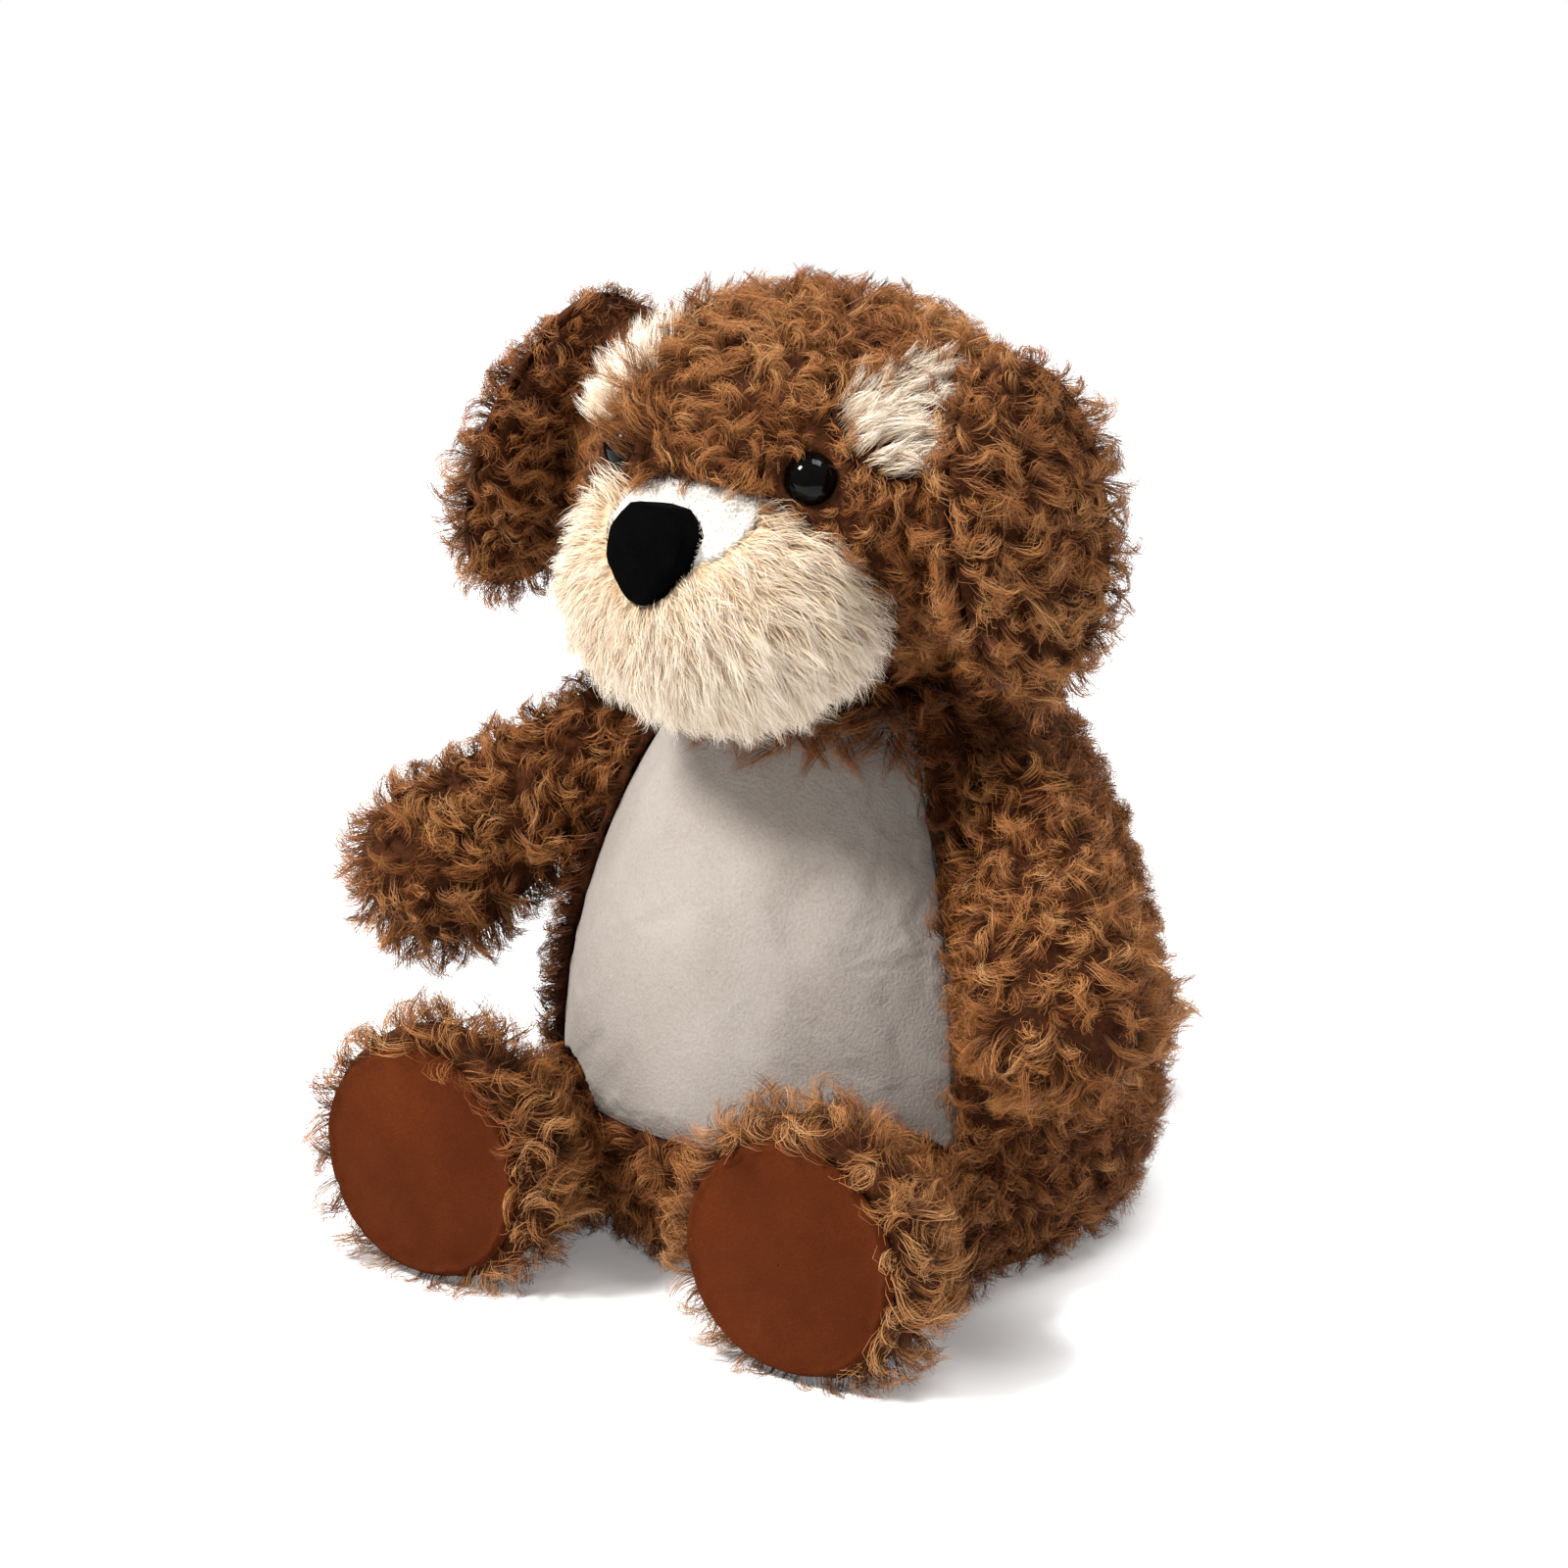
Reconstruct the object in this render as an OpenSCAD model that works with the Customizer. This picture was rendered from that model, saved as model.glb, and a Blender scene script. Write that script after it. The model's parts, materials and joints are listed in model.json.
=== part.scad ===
// Sitting plush dog: curly pile fabric, smooth belly and soles, long pile muzzle.
// The dog faces -Y, its left side is +X, and it sits on the plane Z = 0.

/* [Fabric] */
// Curly pile fabric with the dense foot of its pile
curly_t = 5; // [3:0.5:7]
// Smooth fabric of the belly and the inside of the ears
smooth_t = 2; // [1:0.5:4]
// Long pile fabric of the muzzle and the brows
long_t = 5.5; // [4:0.5:8]

/* [Torso] */
// Radius of the stuffed torso at its widest
torso_r = 84; // [78:1:88]
// Height of the widest level above the seat
torso_wide_z = 56; // [52:1:60]
// Height at which the shoulders would close above the neck
torso_top_z = 191; // [188:1:194]
// Level where the torso is open for the neck
neck_cut_z = 164; // [162:0.5:165]
// Half the angle that the belly panel covers, in degrees
belly_half_deg = 53; // [50:1:56]
// Height where the belly panel meets the seat panel
belly_low_z = 42; // [38:1:46]

/* [Head] */
// Half width of the stuffed head
head_rx = 60; // [56:1:62]
// Half depth of the stuffed head
head_ry = 58; // [54:1:60]
// Half height of the stuffed head
head_rz = 46; // [44:1:48]
// Height of the head's centre
head_z = 224; // [222:1:228]
// Half width of the panel over the top of the head
gusset_half = 20; // [14:1:26]
// Radius of the stuffed neck ball
neck_r = 24; // [20:1:26]

/* [Muzzle] */
// Half width of the stuffed muzzle
muzzle_rx = 40; // [36:1:42]
// Half depth of the stuffed muzzle
muzzle_ry = 34; // [32:1:36]
// Half height of the stuffed muzzle
muzzle_rz = 30; // [27:1:31]
// Width of the nose
nose_w = 25; // [22:1:28]
// Height of the nose
nose_h = 28; // [24:1:30]
// Diameter of an eye
eye_d = 15; // [12:1:18]

/* [Limbs] */
// Radius of an arm at its paw
paw_r = 24; // [20:1:25]
// Radius of the ball at the root of an arm
shoulder_r = 15; // [13:1:16]
// Radius of a thigh
thigh_r = 23; // [20:1:24]
// Half height and half width of a foot
foot_r = 38.5; // [36:0.5:40]
// Radius of a sole
sole_r = 34; // [30:1:35]
// Half width of an ear, front to back
ear_w = 39; // [36:1:40]
// Half length of an ear
ear_l = 47; // [44:1:48]

/* [Hidden] */
$fn = 48;
SIDES = [["left", 1], ["right", -1]];
ball_room = 0.8; // deeper seat behind the ball at a limb's root
fit = 0.5; // clearance between two bodies
far = 400; // larger than the whole toy

seat_t = 3;
torso_up_power = 1.7;
torso_low_power = 3;
torso_low = 66;

head_c = [0, -20, head_z];
muzzle_c = [0, -66, head_z - 20];
head_r = [head_rx, head_ry, head_rz];
muzzle_r = [muzzle_rx, muzzle_ry, muzzle_rz];
chin_z = head_z - 17; // the top panel stops here in front

neck_c = [0, -10, head_z - 54];
collar_r = neck_r + 2.8;
collar_t = 2.5;
collar_z = neck_c[2] - 3;

nose_c = [0, -98, head_z - 4];
nose_tilt = 12;
nose_depth = 9;
nose_round = [0.72, 0.68]; // half width and half height of its rounding, against its size
velour_t = 1.2;
bridge_c = [0, -84];
bridge_r = [22, 17];
bridge_t = 4;

eye_c = [33, -71, head_z + 17];
eye_ring = 0.1;
eye_yaw = 31;
eye_pitch = 20;
eye_stand = 1; // how far an eye's middle stands out of the fabric
shank_r = 2.5;
shank_l = 10;
washer_r = 9;
washer_t = 2;
washer_gap = 3.5;

brow_c = [39, head_z + 30];
brow_r = [19, 6];
brow_lean = 48;

ear_root = [51.5, -22, head_z + 31];
ear_c = [80, -35, head_z + 3];
ear_flare = 15; // outwards, towards the tip
ear_pitch = 22; // forwards, towards the tip
ear_web = [6, 30, 20];
ear_web_to = [-11, 34]; // where the web enters the pad, from its middle
ear_thick = [11, 9]; // curly outside, lining inside
ear_roll_r = 4;
ear_roll_l = 40;

shoulder_c = [69, -17, 139];
paw_c = [108, -58, 99];
hip_c = [57, -52, thigh_r - 1.5];
foot_c = [64, -114, foot_r - 2.5];
hip_waist = 1; // a thigh is this much slimmer at its root
foot_ry = 24;
sole_y = -124;
sole_t = 2.5;
sole_bulge = 3.5;

tail_c = [0, 92, 27];
tail_tip = [21, 118, 30];
tail_r = [9, 11];

pouch_r = [48, 48, 12];
pouch_z = 17;
stitch_r = 0.6;
stitch_l = 7;
stitch_from_z = 70;
stitch_pitch = 6;
stitch_count = 9;

CURLY = [0.55, 0.35, 0.18];
SMOOTH = [0.90, 0.87, 0.82];
CREAM = [0.90, 0.80, 0.64];
SOLE = [0.50, 0.25, 0.13];
FILL = [0.95, 0.95, 0.93];
BLACK = [0.03, 0.03, 0.03];

// ---- shared shapes ----

function bulge(s, n) = pow(max(0, 1 - pow(abs(s), n)), 1 / n);

// Radius of the torso at height z, grown outwards by grow
function torso_radius(z, grow) =
    z > torso_wide_z
        ? (torso_r + grow) * bulge((z - torso_wide_z) / (torso_top_z - torso_wide_z + grow),
                                   torso_up_power)
        : (torso_r + grow) * bulge((torso_wide_z - z) / (torso_low + grow), torso_low_power);

module torso_form(grow, from = 0, sweep = 360) {
    top = torso_top_z + grow;
    outline = [for (a = [0 : 10 : 180]) let (z = top * (1 - cos(a)) / 2) [torso_radius(z, grow), z]];
    rotate([0, 0, from])
        rotate_extrude(angle = sweep)
            polygon(concat([[0, 0]], outline));
}

module egg(r) {
    scale(r)
        sphere(1);
}

// The sphere's own seam is turned to the front, under the muzzle
module head_form(grow) {
    translate(head_c)
        scale([for (r = head_r) r + grow])
            rotate([0, 0, -90])
                sphere(1);
}

module muzzle_form(grow) {
    translate(muzzle_c)
        egg([for (r = muzzle_r) r + grow]);
}

// A tapered pod with round ends, from a ball at the origin to a ball up the Z axis
module pod(r0, r1, length) {
    lean = asin((r0 - r1) / length);
    rotate_extrude()
        intersection() {
            union() {
                circle(r0);
                translate([0, length])
                    circle(r1);
                polygon([[0, r0 * sin(lean)], [r0 * cos(lean), r0 * sin(lean)],
                         [r1 * cos(lean), length + r1 * sin(lean)],
                         [0, length + r1 * sin(lean)]]);
            }
            translate([0, -r0])
                square([r0 + r1, r0 + length + r1]);
        }
}

// Stands its child, made along +Z at the origin, at a with +Z towards b
module aim(a, b) {
    d = b - a;
    translate(a)
        rotate([0, acos(d[2] / norm(d)), atan2(d[1], d[0])])
            children();
}

// Builds its child for the left side, and mirrors it for the right
module on_side(side) {
    if (side > 0)
        children();
    else
        mirror([1, 0, 0])
            children();
}

module half(side) {
    translate([side > 0 ? 0 : -far, -far / 2, -1])
        cube(far);
}

// ---- pockets that one body leaves for another ----

module joint_pockets() {
    neck_pocket();
    translate([0, 0, neck_cut_z + far / 2])
        cube(far, center = true);
    translate(tail_c)
        sphere(tail_r[0] + fit);
    for (s = SIDES)
        on_side(s[1]) {
            swing_room(shoulder_c, paw_c, shoulder_r + fit, paw_r + fit, [-15 : 10 : 15]);
            swing_room(hip_c, foot_c, thigh_r + fit, thigh_r + fit, [-10 : 7.5 : 12.5]);
        }
}

// Room for a limb that swings up by each of the angles around the ball at its root
module swing_room(root, tip, root_r, tip_r, angles) {
    translate(root) {
        sphere(root_r + ball_room);
        for (a = angles)
            rotate([-a, 0, 0])
                aim([0, 0, 0], tip - root)
                    cylinder(r1 = root_r, r2 = tip_r, h = norm(tip - root));
    }
}

module neck_pocket() {
    translate(neck_c)
        sphere(neck_r + fit);
}

module ear_pocket() {
    translate(ear_root)
        rotate([90, 0, 0])
            cylinder(r = ear_roll_r + fit, h = ear_roll_l + 2 * fit, center = true);
}

// The eye's shank hole, and the ring of pile cut away for its dome
module eye_pocket() {
    at_eye() {
        cylinder(r = shank_r, h = 3 * shank_l, center = true);
        translate([0, 0, smooth_t])
            cylinder(r = eye_d / 2 + eye_ring, h = 2 * shank_l);
    }
}

// ---- torso ----

module torso_side(side) {
    start = side > 0 ? -90 + belly_half_deg : 90;
    color(CURLY)
        difference() {
            torso_form(curly_t, start, 180 - belly_half_deg);
            torso_form(0);
            joint_pockets();
            floor_slab(seat_t);
        }
}

module floor_slab(t) {
    translate([0, 0, t - far / 2])
        cube(far, center = true);
}

module belly_panel() {
    color(SMOOTH)
        difference() {
            torso_form(smooth_t, -90 - belly_half_deg, 2 * belly_half_deg);
            torso_form(0);
            joint_pockets();
            floor_slab(belly_low_z);
        }
}

// The base, and the apron that it sends up in front to the belly panel
module seat_panel() {
    color(CURLY)
        difference() {
            intersection() {
                torso_form(curly_t);
                union() {
                    floor_slab(seat_t);
                    apron_zone();
                }
            }
            difference() {
                torso_form(0);
                floor_slab(seat_t);
            }
            joint_pockets();
        }
}

module apron_zone() {
    reach = far * [sin(belly_half_deg), -cos(belly_half_deg)];
    linear_extrude(belly_low_z)
        polygon([[0, 0], [-reach[0], reach[1]], reach]);
}

module torso_stuffing() {
    color(FILL)
        difference() {
            torso_form(0);
            floor_slab(seat_t);
            joint_pockets();
            pouch_form();
        }
}

module pouch_form() {
    translate([0, 0, pouch_z])
        egg(pouch_r);
}

module pellet_pouch() {
    color(SMOOTH)
        pouch_form();
}

// Hand stitches that close the back seam after stuffing
module closing_stitches() {
    color(CURLY)
        for (i = [0 : stitch_count - 1])
            let (z = stitch_from_z + i * stitch_pitch)
                translate([0, torso_radius(z - stitch_r, curly_t) + 2 * stitch_r, z])
                    rotate([0, 90, 0])
                        cylinder(r = stitch_r, h = stitch_l, center = true);
}

// ---- neck ----

module neck_stuffing() {
    color(FILL)
        translate(neck_c)
            sphere(neck_r);
}

module neck_collar() {
    color(CURLY)
        difference() {
            translate([neck_c[0], neck_c[1], collar_z])
                rotate_extrude()
                    translate([collar_r, 0])
                        circle(collar_t);
            translate(neck_c)
                sphere(neck_r);
        }
}

// ---- head ----

// The strip over the head, from the muzzle back to the nape
module gusset_zone() {
    difference() {
        translate([-gusset_half, -far / 2, 0])
            cube([2 * gusset_half, far, far]);
        throat_zone();
    }
}

// The side panels meet under the head, in front of the neck
module throat_zone() {
    translate([-far / 2, neck_c[1] - far, 0])
        cube([far, far, chin_z]);
}

module brow_zone() {
    translate([brow_c[0], head_c[1], brow_c[1]])
        rotate([90, 0, 0])
            linear_extrude(far)
                rotate(-brow_lean)
                    scale(brow_r)
                        circle(1);
}

module head_shell() {
    difference() {
        head_form(curly_t);
        head_form(0);
        muzzle_form(long_t);
        neck_pocket();
    }
}

module head_side(side) {
    color(CURLY)
        on_side(side)
            difference() {
                head_shell();
                half(-1);
                gusset_zone();
                brow_zone();
                ear_pocket();
                eye_pocket();
            }
}

module head_gusset() {
    color(CURLY)
        difference() {
            head_shell();
            for (x = [gusset_half, -gusset_half - far])
                translate([x, -far / 2, 0])
                    cube(far);
            throat_zone();
        }
}

module brow(side) {
    color(CREAM)
        on_side(side)
            difference() {
                intersection() {
                    head_shell();
                    brow_zone();
                }
                ear_pocket();
            }
}

module bridge_zone() {
    translate([bridge_c[0], bridge_c[1], muzzle_c[2]])
        linear_extrude(far)
            scale(bridge_r)
                circle(1);
}

module muzzle(side) {
    color(CREAM)
        on_side(side)
            difference() {
                muzzle_form(long_t);
                muzzle_form(0);
                head_form(0);
                neck_pocket();
                half(-1);
                bridge_zone();
                nose_form(0);
                eye_pocket();
            }
}

module snout_bridge() {
    color(SMOOTH)
        difference() {
            intersection() {
                muzzle_form(bridge_t);
                bridge_zone();
            }
            muzzle_form(0);
            head_form(0);
            nose_form(0);
        }
}

// A shield, flat on top and pointed below, drawn around its middle
module nose_shield(grow) {
    w = nose_w / 2 + grow;
    h = nose_h / 2 + grow;
    polygon([[-0.55 * w, h], [0.55 * w, h], [w, 0.45 * h], [0.95 * w, -0.15 * h],
             [0.28 * w, -0.92 * h], [0, -h], [-0.28 * w, -0.92 * h],
             [-0.95 * w, -0.15 * h], [-w, 0.45 * h]]);
}

module nose_form(grow) {
    translate(nose_c)
        rotate([90 - nose_tilt, 0, 0])
            intersection() {
                linear_extrude(far, center = true)
                    nose_shield(grow);
                egg([nose_w * nose_round[0] + grow, nose_h * nose_round[1] + grow, nose_depth + grow]);
            }
}

module nose_cover() {
    color(BLACK)
        difference() {
            nose_form(0);
            nose_form(-velour_t);
            muzzle_form(0);
        }
}

module nose_stuffing() {
    color(FILL)
        difference() {
            nose_form(-velour_t);
            muzzle_form(0);
        }
}

// Places its child on the left eye's seat, with +Z looking out
module at_eye() {
    translate(eye_c)
        rotate([90 - eye_pitch, 0, eye_yaw])
            translate([0, 0, -eye_inset()])
                children();
}

// How far the eye's seat lies below the eye's front
function eye_inset() = eye_d / 2 - eye_stand;

module eye(side) {
    color(BLACK)
        on_side(side)
            at_eye() {
                intersection() {
                    translate([0, 0, smooth_t])
                        sphere(eye_d / 2);
                    translate([-eye_d / 2, -eye_d / 2, smooth_t])
                        cube(eye_d);
                }
                translate([0, 0, -shank_l])
                    cylinder(r = shank_r, h = shank_l + smooth_t);
            }
}

module washer_form() {
    translate([0, 0, -washer_t - washer_gap])
        cylinder(r = washer_r, h = washer_t);
}

module eye_washer(side) {
    color(FILL)
        on_side(side)
            at_eye()
                difference() {
                    washer_form();
                    cylinder(r = shank_r, h = 3 * shank_l, center = true);
                }
}

module head_stuffing() {
    color(FILL)
        difference() {
            union() {
                head_form(0);
                muzzle_form(0);
            }
            neck_pocket();
            for (s = SIDES)
                on_side(s[1]) {
                    ear_pocket();
                    eye_pocket();
                    at_eye()
                        washer_form();
                }
        }
}

// ---- ears ----

// The ear's pad, centred at the origin, hanging along -Z with the head on the -X side
module ear_pad(t) {
    scale([t, ear_w, ear_l])
        sphere(1);
}

module at_ear() {
    translate(ear_c)
        rotate([-ear_pitch, -ear_flare, 0])
            children();
}

module ear_half(t, outwards) {
    at_ear()
        intersection() {
            ear_pad(t);
            translate([outwards ? 0 : -far, -far / 2, -far / 2])
                cube(far);
        }
}

// The roll in the head's seam, and the gathered web that joins it to the pad
module ear_root_form() {
    translate(ear_root)
        rotate([90, 0, 0])
            cylinder(r = ear_roll_r, h = ear_roll_l, center = true);
    aim(ear_root, [ear_c[0] + ear_web_to[0], ear_root[1], ear_c[2] + ear_web_to[1]])
        translate([-ear_web[0] / 2, -ear_web[1] / 2, 0])
            cube(ear_web);
}

module ear_outer(side) {
    color(CURLY)
        on_side(side)
            ear_half(ear_thick[0], true);
}

module ear_lining(side) {
    color(CURLY)
        on_side(side) {
            ear_half(ear_thick[1], false);
            difference() {
                ear_root_form();
                ear_half(ear_thick[0], true);
            }
        }
}

// ---- arms ----

module arm_form(grow) {
    aim(shoulder_c, paw_c)
        pod(shoulder_r + grow, paw_r + grow, norm(paw_c - shoulder_c));
}

module arm(side) {
    color(CURLY)
        on_side(side)
            difference() {
                arm_form(0);
                arm_form(-curly_t);
            }
}

module arm_stuffing(side) {
    color(FILL)
        on_side(side)
            arm_form(-curly_t);
}

// ---- legs ----

module leg_form(grow) {
    translate(hip_c)
        sphere(thigh_r + grow);
    aim(hip_c, foot_c)
        cylinder(r1 = thigh_r - hip_waist + grow, r2 = thigh_r + grow, h = norm(foot_c - hip_c));
    translate(foot_c)
        egg([foot_r + grow, foot_ry + grow, foot_r + grow]);
}

// Everything in front of the sole's seam
module sole_zone() {
    translate([-far / 2, sole_y - far, -far / 2])
        cube(far);
}

module leg(side) {
    color(CURLY)
        on_side(side)
            difference() {
                leg_form(0);
                leg_fill();
                sole_zone();
                floor_slab(0);
            }
}

module leg_fill() {
    difference() {
        leg_form(-curly_t);
        floor_slab(curly_t);
    }
}

module leg_stuffing(side) {
    color(FILL)
        on_side(side)
            difference() {
                leg_fill();
                sole_zone();
            }
}

module sole(side) {
    color(SOLE)
        on_side(side)
            translate([foot_c[0], sole_y, foot_c[2]])
                rotate([90, 0, 0])
                    intersection() {
                        cylinder(r = sole_r, h = sole_t + sole_bulge);
                        translate([0, 0, sole_t + sole_bulge - dome_r()])
                            sphere(dome_r(), $fn = 240);
                    }
}

// Radius of the dome that rises by sole_bulge over the sole
function dome_r() = (pow(sole_r, 2) + pow(sole_bulge, 2)) / (2 * sole_bulge);

// ---- tail ----

module tail_form(grow) {
    aim(tail_c, tail_tip)
        pod(tail_r[0] + grow, tail_r[1] + grow, norm(tail_tip - tail_c));
}

module tail() {
    color(CURLY)
        difference() {
            tail_form(0);
            tail_form(-curly_t);
        }
}

module tail_stuffing() {
    color(FILL)
        tail_form(-curly_t);
}

// ---- output ----

belly_panel();
seat_panel();
torso_stuffing();
pellet_pouch();
closing_stitches();
neck_stuffing();
neck_collar();
head_gusset();
snout_bridge();
nose_cover();
nose_stuffing();
head_stuffing();
tail();
tail_stuffing();
torso_side(1);  // torso_side_left
torso_side(-1);  // torso_side_right
head_side(1);  // head_side_left
head_side(-1);  // head_side_right
brow(1);  // brow_left
brow(-1);  // brow_right
muzzle(1);  // muzzle_left
muzzle(-1);  // muzzle_right
eye(1);  // eye_left
eye(-1);  // eye_right
eye_washer(1);  // eye_washer_left
eye_washer(-1);  // eye_washer_right
ear_outer(1);  // ear_outer_left
ear_outer(-1);  // ear_outer_right
ear_lining(1);  // ear_lining_left
ear_lining(-1);  // ear_lining_right
arm(1);  // arm_left
arm(-1);  // arm_right
arm_stuffing(1);  // arm_stuffing_left
arm_stuffing(-1);  // arm_stuffing_right
leg(1);  // leg_left
leg(-1);  // leg_right
sole(1);  // sole_left
sole(-1);  // sole_right
leg_stuffing(1);  // leg_stuffing_left
leg_stuffing(-1);  // leg_stuffing_right
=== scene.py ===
"""Plush dog: fabric skins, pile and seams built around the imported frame.

Lengths are in millimetres until a mesh is made. The dog faces -Y and its left is +X.
"""

import json
import math

import bpy
import numpy as np
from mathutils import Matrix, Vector

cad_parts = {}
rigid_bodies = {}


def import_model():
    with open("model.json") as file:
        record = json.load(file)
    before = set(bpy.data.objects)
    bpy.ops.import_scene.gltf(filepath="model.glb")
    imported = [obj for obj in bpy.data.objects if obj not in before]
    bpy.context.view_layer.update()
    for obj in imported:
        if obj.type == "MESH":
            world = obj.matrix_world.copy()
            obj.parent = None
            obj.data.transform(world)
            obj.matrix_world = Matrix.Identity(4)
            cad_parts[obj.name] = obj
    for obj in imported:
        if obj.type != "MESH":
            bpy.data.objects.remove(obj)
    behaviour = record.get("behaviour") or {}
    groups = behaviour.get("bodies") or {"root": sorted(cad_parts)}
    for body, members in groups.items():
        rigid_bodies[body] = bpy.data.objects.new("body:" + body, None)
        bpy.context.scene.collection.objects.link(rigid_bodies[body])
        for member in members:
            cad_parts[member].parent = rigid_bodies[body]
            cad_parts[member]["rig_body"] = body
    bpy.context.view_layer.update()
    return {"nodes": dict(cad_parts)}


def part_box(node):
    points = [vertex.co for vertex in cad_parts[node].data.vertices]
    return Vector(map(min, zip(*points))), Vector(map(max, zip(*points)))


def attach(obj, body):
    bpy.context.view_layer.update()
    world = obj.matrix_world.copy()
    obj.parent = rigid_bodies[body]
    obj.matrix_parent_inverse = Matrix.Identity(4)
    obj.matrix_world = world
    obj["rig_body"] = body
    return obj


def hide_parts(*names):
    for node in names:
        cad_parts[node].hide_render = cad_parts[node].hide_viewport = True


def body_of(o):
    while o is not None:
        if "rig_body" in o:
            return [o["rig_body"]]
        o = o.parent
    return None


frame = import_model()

MM = 0.001
TAU = 2 * math.pi
SIDES = (("left", 1), ("right", -1))
UV_NAME = "OFBake"  # u is a fibre's tone, v runs from its root to its tip
MOST_FACES = 90_000  # quads in one piece of pile
SWELL_FRAMES = 20
SWELL_PRESSURE = 1.2
TUFT_GAP = 3.8  # least distance between two tufts of curly pile
SINK = 2.2  # how far beneath the CAD skin the tufts of ears, limbs and tail are rooted
FLOOR_GAP = 0.15  # pile stays this far above the floor

# ---- the forms that the frame's solids have ----

TORSO_R, WIDE_Z, TOP_Z, LOW = 84, 56, 191, 66
UP_POWER, LOW_POWER = 1.7, 3
NECK_CUT_Z = 164
BELLY_HALF = math.radians(53)  # half the belly panel's angle round the torso
BELLY_LOW_Z = 42
HEAD_C, HEAD_R = np.array([0, -20, 224.0]), np.array([60, 58, 46.0])
MUZZLE_C, MUZZLE_R = np.array([0, -66, 204.0]), np.array([40, 34, 30.0])
GUSSET_HALF = 20
NECK_C, NECK_R = np.array([0, -10, 170.0]), 24
COLLAR_R, COLLAR_Z = 26.8, 167
NOSE_C = np.array([0, -98, 220.0])
BRIDGE_C, BRIDGE_R, BRIDGE_T = np.array([0, -84.0]), np.array([22, 17.0]), 4
# yaw, pitch, lean and flare are in degrees
EYE_C, EYE_R, EYE_YAW, EYE_PITCH = np.array([33, -71, 241.0]), 7.5, 31, 20
BROW_C, BROW_R, BROW_LEAN = np.array([39, 254.0]), np.array([19, 6.0]), 48
BROW_FREE = 8  # the upper end of a brow beyond this is hidden by curls
EAR_C, EAR_OUT, EAR_IN = np.array([80, -35, 227.0]), np.array([11, 39, 47.0]), np.array([9, 39, 47.0])
EAR_PITCH, EAR_FLARE = 22, 15
EAR_ROOT = np.array([55, -22, 258.0])
SHOULDER_C, SHOULDER_R = np.array([69, -17, 139.0]), 15
PAW_C, PAW_R = np.array([108, -58, 99.0]), 24
HIP_C, THIGH_R = np.array([57, -52, 21.5]), 23
FOOT_C, FOOT_R = np.array([64, -114, 36.0]), np.array([38.5, 24, 38.5])
SOLE_Y, SOLE_R, SOLE_T, SOLE_RISE = -124, 34, 2.5, 3.5
TAIL_C, TAIL_TIP, TAIL_R = np.array([0, 92, 27.0]), np.array([21, 118, 30.0]), (9, 11)


def unit(v):
    return v / np.maximum(np.linalg.norm(v, axis=-1, keepdims=True), 1e-9)


def turned(x=0.0, y=0.0, z=0.0):
    """Rotation about X, then Y, then Z, in degrees."""
    cx, cy, cz = (math.cos(math.radians(a)) for a in (x, y, z))
    sx, sy, sz = (math.sin(math.radians(a)) for a in (x, y, z))
    about_x = np.array([[1, 0, 0], [0, cx, -sx], [0, sx, cx]])
    about_y = np.array([[cy, 0, sy], [0, 1, 0], [-sy, 0, cy]])
    about_z = np.array([[cz, -sz, 0], [sz, cz, 0], [0, 0, 1]])
    return about_z @ about_y @ about_x


def aimed(a, b):
    """Rotation that takes +Z to the direction from a to b."""
    z = unit(b - a)
    x = unit(np.cross([0, 1, 0.2], z))
    return np.column_stack([x, np.cross(z, x), z])


def mirrored(side, *arrays):
    return [a * np.array([side, 1, 1]) for a in arrays]


def folded(p):
    """The points with both of the dog's sides laid on its left."""
    return np.column_stack([np.abs(p[:, 0]), p[:, 1], p[:, 2]])


def smooth_step(x, low=0.0, high=1.0):
    t = np.clip((x - low) / (high - low), 0, 1)
    return t * t * (3 - 2 * t)


def ripple(p, size, seed):
    """Smooth noise from about -1 to 1 whose features are about size across."""
    waves = 7
    rng = np.random.default_rng(seed)
    k = unit(rng.normal(size=(waves, 3))) * rng.uniform(0.6, 1.5, (waves, 1)) * math.pi / size
    return np.sin(p @ k.T + rng.uniform(0, TAU, waves)).sum(axis=-1) / math.sqrt(waves)


def torso_radius(z, grow):
    """The torso's radius at height z, with its form grown by grow."""
    up = (z - WIDE_Z) / (TOP_Z - WIDE_Z + grow)
    low = (WIDE_Z - z) / (LOW + grow)
    power = np.where(z > WIDE_Z, UP_POWER, LOW_POWER)
    share = np.clip(np.where(z > WIDE_Z, up, low), 0, 1)
    return (TORSO_R + grow) * np.maximum(1 - share**power, 0) ** (1 / power)


def inside_egg(p, centre, radii):
    return (((p - centre) / radii) ** 2).sum(axis=-1) < 1


# ---- points on the forms ----


def egg_points(centre, radii, n, rng):
    """Points spread evenly over an ellipsoid, and their normals."""
    u = unit(rng.normal(size=(n, 3)))
    slope = u / radii
    size = np.linalg.norm(slope, axis=1)
    keep = rng.random(n) < size / size.max()
    return centre + (u * radii)[keep], unit(slope[keep])


def revolved_points(along, radius, n, rng):
    """Points and normals on the surface that the profile sweeps round Z."""
    da, dr = np.diff(along), np.diff(radius)
    ds = np.hypot(da, dr) + 1e-9
    share = np.cumsum(ds * (radius[1:] + radius[:-1]))
    i = np.searchsorted(share / share[-1], rng.random(n)).clip(0, len(ds) - 1)
    f, angle = rng.random(n), rng.uniform(-math.pi, math.pi, n)
    r, z = radius[i] + f * dr[i], along[i] + f * da[i]
    c, s = np.cos(angle), np.sin(angle)
    flat = da[i] / ds[i]
    return np.column_stack([r * c, r * s, z]), np.column_stack([c * flat, s * flat, -dr[i] / ds[i]])


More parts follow.
